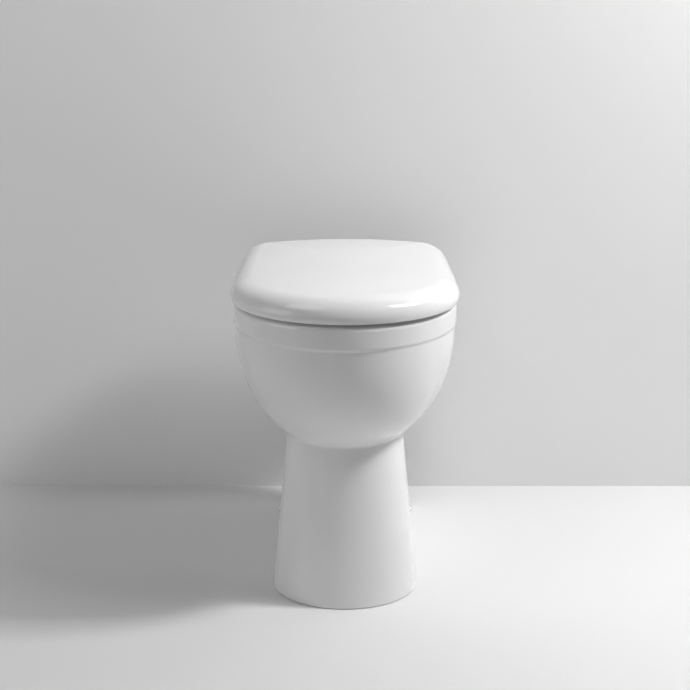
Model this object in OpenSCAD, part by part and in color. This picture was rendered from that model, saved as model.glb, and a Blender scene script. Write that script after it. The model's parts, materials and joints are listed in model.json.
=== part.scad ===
// Back-to-wall toilet of raised height, with a wrap-over soft-close seat.
// Millimetres, +Z up, the front faces -Y. The origin is on the floor, half way
// between the wall plane and the front of the lid. Inside the modules y is
// measured from the wall plane, and at_wall() moves the result to the origin.

/* [Rim] */
// Height of the ceramic rim above the floor
rim_height = 480; // [440:1:500]
// Width over the rim band
rim_width = 350; // [330:1:370]
// Wall plane to the front of the rim
rim_projection = 505; // [480:1:530]
// Depth of the elliptic nose of the rim
nose_depth = 187; // [160:1:200]
// Width of the seat deck where it meets the wall
deck_width = 334; // [310:1:350]
// Height of the raised band under the rim
band_height = 38; // [25:1:50]
// Step from the band in to the bowl
band_step = 2.4; // [0.8:0.1:3]
// Rounding of the rim's top edge
rim_round = 10; // [4:0.5:11]
// Thickness of the seat deck
deck_thick = 16; // [12:1:20]

/* [Bowl] */
// Height from the band down to the bowl's lowest point
bowl_drop = 204; // [190:1:230]
// Power of the bowl's profile curve, where 2 is an ellipse
bowl_power = 2.2; // [1.9:0.05:2.5]
// Width of the bowl's opening
opening_width = 240; // [220:1:250]
// Length of the bowl's opening
opening_length = 278; // [260:1:290]
// Width of the rim in front of the opening
rim_front = 57; // [48:1:60]
// Depth of the lip round the opening
lip_depth = 15; // [12:1:18]
// How far the bowl is cut back under the lip
lip_undercut = 34; // [28:1:36]
// Height of the sump's floor
sump_floor = 150; // [130:1:160]
// Half width of the sump at its neck
sump_radius = 46; // [40:1:50]

/* [Pedestal] */
// Width of the foot
foot_width = 235; // [210:1:240]
// Wall plane to the front of the foot
foot_projection = 440; // [420:1:450]
// Depth of the foot's elliptic nose
foot_nose = 105; // [90:1:115]
// Width of the pedestal where it meets the bowl
neck_width = 184; // [180:1:200]
// Height at which the pedestal meets the bowl
neck_height = 266; // [255:1:275]
// How far the neck stands back from the foot, at the front
neck_setback = 19; // [10:1:25]
// Thickness of the ceramic walls
wall = 12; // [9:0.5:13]

/* [Waste and flush] */
// Radius of the trapway
trap_radius = 29; // [27:0.5:31]
// Wall of the trapway
trap_wall = 9; // [8:0.5:10]
// Height of the trapway's crest
crest_height = 285; // [282:1:288]
// Height of the waste outlet's axis
outlet_height = 185; // [180:1:190]
// Outside radius of the waste spigot
spigot_radius = 51; // [49:0.5:53]
// Inside radius of the waste spigot
spigot_bore = 40; // [38:0.5:42]
// Length of the waste spigot
spigot_length = 36; // [30:1:37]
// Wall plane to the end of the spigot
spigot_recess = 46; // [45:1:50]
// Height of the flush inlet's axis
inlet_height = 408; // [400:1:412]
// Radius of the flush inlet's bore
inlet_bore = 28; // [26:0.5:29]
// Depth of the flush inlet's bore
inlet_depth = 45; // [35:1:48]
// Wall plane to the mouth of the flush inlet
inlet_recess = 62; // [55:1:75]

/* [Seat] */
// Width of the lid
lid_width = 356; // [340:1:372]
// How far the lid reaches past the rim at the front
lid_overhang = 2; // [1:0.5:9]
// Wall plane to the lid's back edge at its middle
lid_setback = 60; // [56:1:64]
// Depth of the lid's elliptic nose
lid_nose = 170; // [160:1:180]
// Width of the lid at its back corners
lid_back_width = 344; // [330:1:350]
// Bow of the lid's back edge
lid_bow = 12.5; // [8:0.5:14]
// Radius of the lid's back corners
lid_corner = 46; // [30:1:55]
// Height of the lid
lid_height = 40.5; // [39:0.5:42]
// Gap between the rim and the lid's lower edge
lid_gap = 2.5; // [2:0.5:5]
// Thickness of the lid's shell
lid_wall = 3.6; // [3:0.1:4.5]
// Width of the soft roll along the lid's edge
roll_width = 36; // [28:1:42]
// Width of the roll along the lid's back edge
roll_back = 14; // [10:1:18]
// Drop of the lid's sides below its middle
lid_crown = 6; // [3:0.5:8]
// Thickness of the seat ring
ring_thick = 21; // [18:0.5:22]
// Height of the seat ring's underside above the rim
ring_lift = 4.5; // [4:0.5:6]
// Gap between the ring and the lid's wall
ring_gap = 4.2; // [3.5:0.1:6]
// Width of the hole in the ring
ring_hole_width = 216; // [200:1:226]
// Length of the hole in the ring
ring_hole_length = 272; // [255:1:285]
// Width of the ring in front of its hole
ring_front = 68; // [60:1:75]
// Rounding of the ring's edges
ring_round = 7; // [4:0.5:8]

/* [Hinges] */
// Distance between the two seat fixings
fixing_spacing = 155; // [145:1:160]
// Wall plane to the hinge axis
hinge_setback = 80; // [79:0.5:84]
// How far the fixings stand in front of the hinge axis
post_offset = 24; // [23:0.5:26]
// Height of the hinge axis above the rim
hinge_lift = 26; // [25.5:0.5:27]
// Radius of the fixed hinge barrels
barrel_radius = 9; // [8.5:0.1:9.2]
// Length of a hinge barrel
barrel_length = 30; // [28:1:34]
// Radius of the hinge knuckles
knuckle_radius = 8; // [6:0.25:8.2]
// Length of a hinge knuckle
knuckle_length = 12; // [10:0.5:14]
// Radius of the hinge pins and damper shafts
pin_radius = 3; // [2.5:0.1:3.5]
// Running clearance of a pin in its knuckle
pin_play = 0.08; // [0.03:0.01:0.1]
// Gap between a knuckle's end and the barrel
knuckle_gap = 0.5; // [0.3:0.1:1]
// Radius of a damper
damper_radius = 7; // [5:0.25:7.25]
// Radius of the hinge posts
post_radius = 7; // [6.5:0.25:7.5]
// Radius of the fixing studs
stud_radius = 4; // [3:0.25:4.5]
// Length of the fixing studs
stud_length = 62; // [55:1:75]
// Radius of the deck's fixing holes
deck_hole = 7.5; // [7:0.25:8]

/* [Floor fixings] */
// Wall plane to the floor fixings
fixing_setback = 80; // [70:1:110]
// Height of the side screws above the floor
screw_height = 25; // [20:1:30]
// Radius of the side screws
screw_radius = 3; // [2.5:0.25:3.5]
// Radius of the floor bracket's floor hole
floor_hole = 4.25; // [3.5:0.25:5]
// Distance between the two floor holes
floor_hole_spacing = 150; // [140:1:154]

/* [Hidden] */

china = [0.95, 0.95, 0.94];
duroplast = [0.96, 0.96, 0.96];
chrome_grey = [0.72, 0.73, 0.75];
rubber_grey = [0.55, 0.56, 0.58];
nylon_white = [0.88, 0.88, 0.86];

left = -1;
right = 1;
past = 1;           // a cut runs this far past the face that it opens
seat_fit = 0.2;     // gap where a seated piece meets its seat
hole_fit = 0.05;    // radial clearance of a fixed pin in its hole

// Steps of the lofted outlines
nose_steps = 30;
oval_steps = 40;
tube_steps = 18;
soft_back = [5, 6];     // corner steps, then steps along the back
square_back = [1, 1];

total_depth = rim_projection + lid_overhang;
axis_z = rim_height + hinge_lift;
post_y = -hinge_setback - post_offset;
nose_y = nose_depth - rim_projection;   // the y of the nose ellipse's centre

module at_wall() {
    translate([0, total_depth / 2, 0]) children();
}

// Joins lofted skins into one surface
module one_skin() {
    resize([0, 0, 0]) children();
}

// ---- outlines and lofts -------------------------------------------------

// A closed D outline, counter-clockwise from above: an elliptic nose, straight
// sides and a bowed back with round corners.
function d_outline(half, nose, centre_y, back_half, back_y, corner, bow, z, steps) =
    let (inner = back_half - corner, corner_y = back_y - bow - corner)
    [
        for (i = [0:nose_steps])
            let (t = 180 + 180 * i / nose_steps)
            [half * cos(t), centre_y + nose * sin(t), z],
        for (i = [0:steps[0]])
            let (t = 90 * i / steps[0])
            [inner + corner * cos(t), corner_y + corner * sin(t), z],
        for (i = [1:1:steps[1] - 1])
            let (x = inner * (1 - 2 * i / steps[1]))
            [x, back_y - bow * pow(x / inner, 2), z],
        for (i = [0:steps[0]])
            let (t = 90 + 90 * i / steps[0])
            [-inner + corner * cos(t), corner_y + corner * sin(t), z]
    ];

// An oval with its own depth in front of and behind its widest place
function oval(half, front, back, centre_y, z) = [
    for (i = [0:oval_steps - 1])
        let (t = 180 + 360 * i / oval_steps)
        [half * cos(t), centre_y + (sin(t) < 0 ? front : back) * sin(t), z]
];

// A ring round a path point (y, z) in the middle plane, square to a heading
function tube_ring(point, heading, radius) = [
    for (i = [0:tube_steps - 1])
        let (t = -360 * i / tube_steps)
        [radius * cos(t), point[0] - radius * sin(t) * sin(heading),
            point[1] + radius * sin(t) * cos(heading)]
];

// A closed solid through rings of equal length, the last one above the first
module loft(rings) {
    n = len(rings[0]);
    m = len(rings);
    sides = [
        for (k = [0:m - 2], i = [0:n - 1])
            let (j = (i + 1) % n)
            each [[k * n + i, (k + 1) * n + i, (k + 1) * n + j], [k * n + i, (k + 1) * n + j, k * n + j]]
    ];
    bottom = [for (i = [0:n - 1]) i];
    top = [for (i = [n - 1:-1:0]) (m - 1) * n + i];
    polyhedron([for (ring = rings) each ring], concat(sides, [bottom, top]), convexity = 6);
}

// ---- pan ----------------------------------------------------------------

band_bottom = rim_height - band_height;
bowl_pole = band_bottom - bowl_drop;
deck_under = rim_height - deck_thick;

// Share of the bowl's full width that is left at a height below the band
function bowl_share(z) = pow(1 - pow((band_bottom - z) / bowl_drop, bowl_power), 1 / bowl_power);

back_corner = 2;        // rounding of the china's back corners

// The upper body's outline, drawn in by an inset and shrunk to a share
function body_outline(inset, share, z) = d_outline(
    (rim_width / 2 - inset) * share, (nose_depth - inset) * share, nose_y,
    (deck_width / 2 - inset) * share, 0, back_corner, 0, z, square_back);

// The pedestal's outline at a height, drawn in by an inset
function pedestal_outline(inset, z) =
    let (rise = z / neck_height,
        half = (foot_width + (neck_width - foot_width) * rise) / 2 - inset,
        nose = foot_nose * half / (foot_width / 2 - inset),
        front = neck_setback * rise - foot_projection + inset)
    d_outline(half, nose, front + nose, half, 0, back_corner, 0, z, square_back);

module upper_body() {
    bowl_levels = [0.93, 0.87, 0.8, 0.72, 0.63, 0.53, 0.42, 0.31, 0.2, 0.1];
    loft(concat(
        [for (level = bowl_levels)
            let (z = band_bottom - bowl_drop * level)
            body_outline(band_step, bowl_share(z), z)],
        [
            body_outline(band_step, 1, band_bottom - 1.5 * band_step),
            body_outline(0.3 * band_step, 1, band_bottom),
            body_outline(0, 1, band_bottom + 1.5 * band_step),
            body_outline(0, 1, rim_height - rim_round)
        ],
        [for (t = [30:30:90])
            body_outline(rim_round * (1 - cos(t)), 1, rim_height - rim_round * (1 - sin(t)))]
    ));
}

module pedestal() {
    foot_round = 3;
    loft([
        pedestal_outline(foot_round / 2, 0),
        pedestal_outline(0, foot_round),
        pedestal_outline(0, neck_height / 2),
        pedestal_outline(0, neck_height),
        pedestal_outline(wall / 2, neck_height + wall)
    ]);
}

bowl_back = rim_front + opening_length - rim_projection;
hollow_front = bowl_back + lip_undercut / 3 + 0.9 * wall;   // the face behind the bowl, in the skirt
lean_start = 55;        // the face leans forwards from this far under the flush inlet
lean = [42, 53];        // first steeply, this far forwards and down
lean_reach = 100;       // and then gently, to this far forwards

space_levels = [0.86, 0.7, 0.5, 0.3, 0.1, 0];     // of the upper body's hollow, as shares of the bowl's drop
spaces_meet = max(neck_height, band_bottom - space_levels[0] * bowl_drop) + past;

// The space inside the skirt, open at the floor and at the wall
module skirt_space() {
    hollow_top = bowl_pole + wall;
    intersection() {
        union() {
            loft([for (z = [-past, neck_height / 2, spaces_meet]) pedestal_space_outline(z)]);
            loft([for (level = space_levels)
                let (z = band_bottom - bowl_drop * level)
                body_space_outline(bowl_share(z), z),
                body_space_outline(1, deck_under)]);
        }
        rotate([90, 0, 90])
            linear_extrude(height = rim_width, center = true)
                polygon([
                    [-foot_projection, -2 * past],
                    [2 * past, -2 * past],
                    [2 * past, deck_under + past],
                    [hollow_front, deck_under + past],
                    [hollow_front, inlet_height - lean_start],
                    [hollow_front - lean[0], inlet_height - lean_start - lean[1]],
                    [hollow_front - lean_reach, hollow_top],
                    [-foot_projection, hollow_top]
                ]);
    }
}

function pedestal_space_outline(z) =
    let (ring = pedestal_outline(wall, max(z, 0)))
    [for (p = ring) [p[0], p[1] > -2 * wall ? past : p[1], z]];

function body_space_outline(share, z) =
    let (half = (deck_width / 2 - band_step) * share - wall)
    d_outline(half, half, nose_y / 2 - half, half, past, back_corner, 0, z, square_back);

// The bowl's inside from the opening down to the sump. Each row is a depth
// below the lip, then shares of the half width and of the reach to front and back.
bowl_rows = [
    [16, 1, 1, 1], [45, 0.99, 0.98, 0.96], [85, 0.96, 0.93, 0.86], [120, 0.88, 0.85, 0.73],
    [150, 0.77, 0.74, 0.6], [180, 0.62, 0.6, 0.44], [205, 0.46, 0.47, 0.3], [232, 0.32, 0.35, 0.2],
    [264, 0.27, 0.29, 0.2]
];

// The sump: a height above its floor, then shares of its radius
sump_rows = [[0, 0.55, 0.6, 1.1], [14, 0.72, 0.9, 1.35]];

module bowl_space() {
    half = opening_width / 2;
    front = rim_projection - rim_front + nose_y;
    back = bowl_back - nose_y;
    wide = half + lip_undercut;
    deep = front + lip_undercut;
    rear = back + lip_undercut / 3;
    lip_bottom = rim_height - lip_depth;
    mouth_round = 5;
    loft(concat(
        [for (row = sump_rows)
            oval(sump_radius * row[1], sump_radius * row[2], sump_radius * row[3],
                nose_y, sump_floor + row[0])],
        [for (i = [len(bowl_rows) - 1:-1:0])
            let (row = bowl_rows[i])
            oval(wide * row[1], deep * row[2], rear * row[3], nose_y, lip_bottom - row[0])],
        [
            oval(wide * 0.97, front + lip_undercut * 0.8, back + lip_undercut / 4, nose_y, lip_bottom),
            oval(half, front, back, nose_y, lip_bottom + 1),
            oval(half, front, back, nose_y, rim_height - mouth_round)
        ],
        [for (t = [45, 90])
            let (grow = mouth_round * (1 - cos(t)))
            oval(half + grow, front + grow, back + grow, nose_y, rim_height - mouth_round * (1 - sin(t)))],
        [oval(half + mouth_round + past, front + mouth_round + past, back + mouth_round + past,
            nose_y, rim_height + past)]
    ));
}

// The sump's outside, in the space under the bowl
module sump_shell() {
    loft([
        oval(sump_radius * 0.6, sump_radius * 0.65, sump_radius * 1.2, nose_y, sump_floor - wall),
        oval(sump_radius * 1.04, sump_radius * 1.2, sump_radius * 1.6, nose_y, sump_floor + wall / 2),
        oval(sump_radius + wall, sump_radius + 1.3 * wall, sump_radius + wall, nose_y, sump_floor + 4 * wall),
        oval(sump_radius * 1.25 + wall, sump_radius * 1.3 + 1.5 * wall, sump_radius + wall,
            nose_y, bowl_pole + 2 * wall)
    ]);
}

// The trapway: up from the sump, over the crest, down and out to the spigot
crest_bend = 40;
outlet_bend = 52;
trap_rise = 50;         // heading of the rising leg
crest_offset = 150;     // the crest lies this far behind the bowl's middle
crest_y = nose_y + crest_offset;
outlet_y = crest_y + crest_bend + outlet_bend;
spigot_end = -spigot_recess;
outlet_end = max(outlet_y + past, spigot_end - past);   // the waste runs straight from its bend to here
rise_start = [crest_y - crest_bend * sin(trap_rise), crest_height - crest_bend * (1 - cos(trap_rise))];
trap_reach = (rise_start[0] - nose_y - sump_radius) / cos(trap_rise);   // down from there into the sump

function trap_stations(radius, reach) = concat(
    [for (run = [reach, reach / 2])
        [rise_start - run * [cos(trap_rise), sin(trap_rise)], trap_rise, radius]],
    [for (t = [trap_rise:-20:-90])
        [[crest_y - crest_bend * sin(t), crest_height - crest_bend * (1 - cos(t))], t, radius]],
    [for (t = [-90, -60, -30, 0])
        [[outlet_y + outlet_bend * sin(t), outlet_height + outlet_bend * (1 - cos(t))], t,
            radius + (spigot_bore - trap_radius) * (t + 90) / 90]],
    [[[outlet_end, outlet_height], 0, radius + spigot_bore - trap_radius]]
);

module trap_tube(radius, reach) {
    loft([for (s = trap_stations(radius, reach)) tube_ring(s[0], s[1], s[2])]);
}

module pan_skin() {
    one_skin() difference() {
        union() {
            difference() {
                union() {
                    upper_body();
                    pedestal();
                }
                skirt_space();
            }
            sump_shell();
            trap_tube(trap_radius + trap_wall, trap_reach + 1.25 * wall);
        }
        bowl_space();
        trap_tube(trap_radius, trap_reach + wall / 2);
    }
}

module pan() {
    boss = inlet_bore + wall;
    color(china) at_wall() difference() {
        union() {
            pan_skin();
            translate([0, spigot_end, outlet_height])
                rotate([90, 0, 0]) cylinder(r = spigot_radius, h = spigot_length, $fn = 96);
            translate([0, -inlet_recess, inlet_height])
                rotate([90, 0, 0]) cylinder(r = boss, h = -inlet_recess - hollow_front + wall / 2, $fn = 72);
        }
        translate([0, spigot_end + past, outlet_height])
            rotate([90, 0, 0]) cylinder(r = spigot_bore, h = spigot_length + 2 * past, $fn = 96);
        translate([0, past - inlet_recess, inlet_height])
            rotate([90, 0, 0]) cylinder(r = inlet_bore, h = inlet_depth + past, $fn = 72);
        flush_channel();
        for (side = [left, right]) {
            translate([side * fixing_spacing / 2, post_y, deck_under - past])
                cylinder(r = deck_hole, h = deck_thick + 2 * past, $fn = 48);
            side_hole(side);
        }
    }
}

// From the flush inlet up to the gap under the rim's lip
module flush_channel() {
    channel_radius = 14;
    channel_rise = 20;
    back_start = 2 * past;      // so that its whole mouth opens into the inlet
    translate([0, -inlet_recess - inlet_depth + 4 * past, inlet_height])
        rotate([90 - channel_rise, 0, 0]) translate([0, 0, -back_start])
            cylinder(r = channel_radius, h = 2.6 * lip_undercut + back_start, $fn = 36);
}

skirt_half = foot_width / 2 + (neck_width - foot_width) / 2 * screw_height / neck_height;
cup_wall = 2.5;
cup_radius = screw_radius + cup_wall;

module side_hole(side) {
    translate([side * (skirt_half - 2 * wall), -fixing_setback, screw_height])
        rotate([0, side * 90, 0]) cylinder(r = cup_radius + hole_fit, h = 3 * wall, $fn = 36);
}

// ---- seat ---------------------------------------------------------------

lid_bottom = rim_height + lid_gap;
lid_top = lid_bottom + lid_height;
lid_widest = lid_bottom + 0.2 * lid_height;
lid_tuck = 1.5;                         // how far the lower edge is drawn in
crown_rise = 3;                         // rise of the flat field past the roll
roll_height = lid_top - crown_rise - lid_widest;
lid_nose_y = lid_nose - total_depth;
least_corner = 4;                       // a corner drawn inwards stays at least this round

// The lid's outline, drawn in by an inset at the sides and by another at the back
function lid_outline(inset, back_inset, z) =
    let (top_share = max(0, (z - lid_bottom) / lid_height))
    [for (p = d_outline(
            lid_width / 2 - inset, lid_nose - inset, lid_nose_y,
            lid_back_width / 2 - inset, -lid_setback - back_inset,
            max(lid_corner - inset, least_corner), lid_bow, z, soft_back))
        [p[0], p[1], z - lid_crown * top_share * pow(2 * p[0] / lid_width, 2)]];

// The lid's skin, moved inwards by a thickness
module lid_skin(thick, open_below) {
    roll_in = roll_width - thick;
    back_in = roll_back - thick / 2;
    rise = roll_height - thick;
    field = [40, 80, 120];
    loft(concat(
        [
            lid_outline(lid_tuck + thick, lid_tuck + thick, lid_bottom - open_below),
            lid_outline(lid_tuck * 0.3 + thick, lid_tuck * 0.3 + thick, lid_bottom + 0.1 * lid_height),
            lid_outline(thick, thick, lid_widest)
        ],
        [for (t = [15:15:90])
            let (away = 1 - cos(t))
            lid_outline(thick + roll_in * away, thick + back_in * away, lid_widest + rise * sin(t))],
        [for (d = field)
            lid_outline(roll_width + d, roll_back + thick / 2 + d,
                lid_top - thick - crown_rise * pow(1 - d / field[2], 2))]
    ));
}

// The lid's back edge is cut short, so that it clears the deck as it swings down
back_lip = axis_z - 6;
back_slope = [-hinge_setback - 10, -hinge_setback + 4];     // where the cut starts below and ends above
notch_play = 0.6;
head_wall = 2.5;
head_room = 2.5;            // between the barrel's head and the ring's back edge
head_radius = post_radius + head_wall;
arm_rise = 6;               // the barrel's arm reaches this far above the axis
arm_fall = 5.5;             // and this far below it

// Room for a fixed barrel, and for its arm when the lid is right over
module hinge_notch(side) {
    half = head_radius + 2.5 * notch_play;
    at_hinge(side) {
        cylinder(r = barrel_radius + notch_play, h = barrel_length + 4 * notch_play, center = true, $fn = 64);
        translate([0, -lid_height, -half]) cube([hinge_setback, lid_height + arm_rise + past, 2 * half]);
    }
}

function knuckle_start(outer) =
    outer ? barrel_length / 2 + knuckle_gap : -barrel_length / 2 - knuckle_gap - knuckle_length;

// Puts a piece at one of the hinges: its z runs outwards along the axis, its x
// towards the wall and its y upwards
module at_hinge(side) {
    translate([side * fixing_spacing / 2, -hinge_setback, axis_z])
        mirror([side < 0 ? 1 : 0, 0, 0]) rotate([90, 0, 90]) children();
}

module along_hinge(side, outer) {
    at_hinge(side) translate([0, 0, knuckle_start(outer)]) children();
}

buffer_spread = 0.66 * lid_width / 2;
buffer_radius = 8;
buffer_rows = [nose_y - 0.34 * nose_depth, 0.66 * nose_y];      // the y of the lid's pads
ring_bottom = rim_height + ring_lift;
ring_top = ring_bottom + ring_thick;
pad_thick = 4.5;                        // of the pads between the lid and the ring
buffer_seat = ring_top + pad_thick;

module lid() {
    color(duroplast) at_wall() difference() {
        union() {
            difference() {
                lid_skin_shell();
                for (side = [left, right]) hinge_notch(side);
            }
            for (side = [left, right]) {
                lid_knuckle(side);
                for (y = buffer_rows)
                    translate([side * buffer_spread, y, buffer_seat])
                        cylinder(r = buffer_radius + past,
                            h = lid_under(buffer_spread) - buffer_seat + lid_wall / 2, $fn = 40);
            }
        }
        along_hinge(right, true) shaft_hole();
        along_hinge(left, true) pin_hole();
    }
}

// Height of the lid's underside at the edge of its field, this far from the middle
function lid_under(x) = lid_top - lid_wall - crown_rise - lid_crown * pow(2 * x / lid_width, 2);

module lid_skin_shell() {
    one_skin() difference() {
        lid_skin(0, 0);
        lid_skin(lid_wall, past);
        rotate([90, 0, 90]) linear_extrude(height = lid_width, center = true)
            polygon([
                [back_slope[0], lid_bottom - 2 * past], [0, lid_bottom - 2 * past],
                [0, back_lip], [back_slope[1], back_lip]
            ]);
    }
}

// A knuckle and the web that hangs it from the lid's field
module lid_knuckle(side) {
    web = 1.25 * knuckle_radius;
    web_end = (fixing_spacing + barrel_length) / 2 + knuckle_gap + knuckle_length;
    along_hinge(side, true) {
        cylinder(r = knuckle_radius, h = knuckle_length, $fn = 64);
        translate([-web, 0, 0])
            cube([web, lid_under(web_end) - axis_z + lid_wall / 2, knuckle_length]);
    }
}

module pin_hole() {
    translate([0, 0, -past]) cylinder(r = pin_radius + pin_play, h = knuckle_length + 2 * past, $fn = 48);
}

// The flatted hole that a damper's shaft turns
module shaft_hole() {
    translate([0, 0, -past]) flatted(pin_radius + hole_fit, knuckle_length + 2 * past);
}

module flatted(radius, length) {
    intersection() {
        cylinder(r = radius, h = length, $fn = 48);
        translate([-0.75 * radius, -radius, 0]) cube([1.5 * radius, 2 * radius, length]);
    }
}

ring_inset = lid_tuck + lid_wall + ring_gap;
ring_back = post_y - head_radius - head_room;
hole_front = total_depth - ring_inset - ring_front;     // wall plane to the front of the hole

// The seat ring's outline, drawn in by an inset
function ring_outline(inset, z) = d_outline(
    lid_width / 2 - ring_inset - inset, lid_nose - ring_inset - inset, lid_nose_y,
    lid_back_width / 2 - ring_inset - inset, ring_back - inset,
    max(lid_corner - inset, least_corner), lid_bow / 2, z, soft_back);

function hole_outline(grow, z) =
    let (front = hole_front + nose_y)
    oval(ring_hole_width / 2 + grow, front + grow, ring_hole_length - front + grow, nose_y, z);

module seat_ring_skin() {
    under_round = 3;
    one_skin() difference() {
        loft(concat(
            [ring_outline(under_round, ring_bottom), ring_outline(0, ring_bottom + under_round)],
            [for (t = [0:30:90])
                ring_outline(ring_round * (1 - cos(t)), ring_top - ring_round * (1 - sin(t)))]
        ));
        loft(concat(
            [hole_outline(under_round, ring_bottom - past), hole_outline(under_round, ring_bottom)],
            [hole_outline(0, ring_bottom + under_round)],
            [for (t = [0:30:90])
                hole_outline(ring_round * (1 - cos(t)), ring_top - ring_round * (1 - sin(t)))],
            [hole_outline(ring_round, ring_top + past)]
        ));
    }
}

module seat_ring() {
    arm_top = 1.5;              // the arms stop this far below the axis
    arm_root = 12;              // and run this far into the ring
    arm_reach = -ring_back - hinge_setback + arm_root;
    color(duroplast) at_wall() difference() {
        union() {
            seat_ring_skin();
            for (side = [left, right])
                along_hinge(side, false) {
                    cylinder(r = knuckle_radius, h = knuckle_length, $fn = 64);
                    translate([-arm_reach, -knuckle_radius, 0])
                        cube([arm_reach, knuckle_radius - arm_top, knuckle_length]);
                }
        }
        along_hinge(left, false) shaft_hole();
        along_hinge(right, false) pin_hole();
    }
}

// Pads that carry the ring on the rim, four of one kind
module ring_buffers() {
    pad_length = 30;
    pad_width = 14;
    // a share of the rim's half width, a y and a turn, for the front and the back pads
    spots = [[0.62, nose_y - 0.61 * nose_depth, 55], [0.83, 0.59 * nose_y, 0]];
    straight = pad_length - pad_width;
    color(nylon_white) at_wall() for (side = [left, right], spot = spots)
        translate([side * spot[0] * rim_width / 2, spot[1], rim_height + seat_fit])
            rotate([0, 0, side * spot[2]]) {
                translate([-pad_width / 2, -straight / 2, 0])
                    cube([pad_width, straight, ring_lift - seat_fit]);
                for (end = [left, right])
                    translate([0, end * straight / 2, 0])
                        cylinder(r = pad_width / 2, h = ring_lift - seat_fit, $fn = 32);
            }
}

// Pads that carry the lid on the ring
module lid_buffers() {
    color(nylon_white) at_wall() for (side = [left, right], y = buffer_rows)
        translate([side * buffer_spread, y, ring_top + seat_fit])
            cylinder(r = buffer_radius, h = pad_thick - seat_fit, $fn = 40);
}

// ---- hinges -------------------------------------------------------------

damper_length = 0.7 * barrel_length;
socket_depth = 10;
plate_thick = 1.8;
gasket_thick = 0.8;
plate_radius = 16;
plate_top = rim_height + gasket_thick + plate_thick;
head_bottom = plate_top + 5;
head_height = axis_z + arm_rise - head_bottom;
post_spigot = post_radius - 2;

// Puts a piece at a hinge with its z towards the damper's open end, which is
// inwards on the left hinge and outwards on the right one
module damper_side(side) {
    at_hinge(side) mirror([0, 0, side < 0 ? 1 : 0]) children();
}

// The fixed barrel, with the arm and the head that carry it on the post
module hinge_barrel(side) {
    arm_half = 8;
    color(duroplast) at_wall() difference() {
        union() {
            at_hinge(side) {
                cylinder(r = barrel_radius, h = barrel_length, center = true, $fn = 72);
                translate([-post_offset, -arm_fall, -arm_half])
                    cube([post_offset, arm_fall + arm_rise, 2 * arm_half]);
            }
            translate([side * fixing_spacing / 2, post_y, head_bottom])
                cylinder(r = head_radius, h = head_height, $fn = 56);
        }
        damper_side(side) {
            translate([0, 0, barrel_length / 2 - damper_length])
                cylinder(r = damper_radius + hole_fit, h = damper_length + past, $fn = 48);
            translate([0, 0, -barrel_length / 2 - past])
                cylinder(r = pin_radius + hole_fit, h = barrel_length, $fn = 48);
        }
        translate([side * fixing_spacing / 2, post_y, head_bottom - past])
            cylinder(r = post_spigot + hole_fit, h = socket_depth + past, $fn = 48);
    }
}

// A rotary damper's case, which stays still in the barrel
module damper(side) {
    color(rubber_grey) at_wall() damper_side(side)
        translate([0, 0, barrel_length / 2 - damper_length + seat_fit]) difference() {
            cylinder(r = damper_radius, h = damper_length - seat_fit, $fn = 48);
            translate([0, 0, 3]) cylinder(r = pin_radius - 0.5 + pin_play, h = damper_length, $fn = 48);
        }
}

// The damper's rotor and the flatted shaft that turns with a knuckle
module damper_shaft(side) {
    rotor = damper_length - 4;
    color(chrome_grey) at_wall() damper_side(side) {
        translate([0, 0, barrel_length / 2 - rotor])
            cylinder(r = pin_radius - 0.5, h = rotor + knuckle_gap, $fn = 48);
        translate([0, 0, barrel_length / 2 + knuckle_gap])
            flatted(pin_radius, knuckle_length);
    }
}

module hinge_pin(side) {
    bite = 8;
    color(chrome_grey) at_wall() damper_side(side)
        translate([0, 0, -barrel_length / 2 - knuckle_gap - knuckle_length])
            cylinder(r = pin_radius, h = knuckle_length + knuckle_gap + bite, $fn = 48);
}

module at_fixing(side, z) {
    at_wall() translate([side * fixing_spacing / 2, post_y, z]) children();
}

module hinge_post(side) {
    color(chrome_grey) at_fixing(side, plate_top) difference() {
        union() {
            cylinder(r = post_radius, h = head_bottom - plate_top - seat_fit, $fn = 48);
            cylinder(r = post_spigot, h = head_bottom - plate_top + socket_depth - seat_fit, $fn = 48);
        }
        translate([0, 0, -past]) cylinder(r = stud_radius + hole_fit, h = stud_grip + past, $fn = 36);
    }
}

stud_grip = 10;

module base_plate(side) {
    color(chrome_grey) at_fixing(side, rim_height + gasket_thick) difference() {
        cylinder(r = plate_radius, h = plate_thick, $fn = 64);
        translate([0, 0, -past]) cylinder(r = stud_radius + 0.5, h = plate_thick + 2 * past, $fn = 36);
    }
}

module base_gasket(side) {
    color(rubber_grey) at_fixing(side, rim_height) difference() {
        cylinder(r = plate_radius, h = gasket_thick, $fn = 64);
        translate([0, 0, -past]) cylinder(r = stud_radius + 1, h = gasket_thick + 2 * past, $fn = 36);
    }
}

// The bright cover that hides the base plate
module hinge_cover(side) {
    skin = 0.7;
    rim = plate_radius + skin + 0.2;
    high = plate_top - rim_height + skin;
    color(chrome_grey) at_fixing(side, rim_height + seat_fit) rotate_extrude($fn = 72)
        polygon([
            [rim - skin, 0], [rim, 0], [rim, high - 1.2], [rim - 0.5, high - 0.4], [rim - 1.5, high],
            [post_radius + 0.1, high], [post_radius + 0.1, high - skin], [rim - skin, high - skin]
        ]);
}

cone_flange = 6;
washer_thick = 2;
nut_height = 9;

module fixing_stud(side) {
    color(chrome_grey) at_fixing(side, plate_top + stud_grip - seat_fit - stud_length)
        cylinder(r = stud_radius, h = stud_length, $fn = 36);
}

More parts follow.
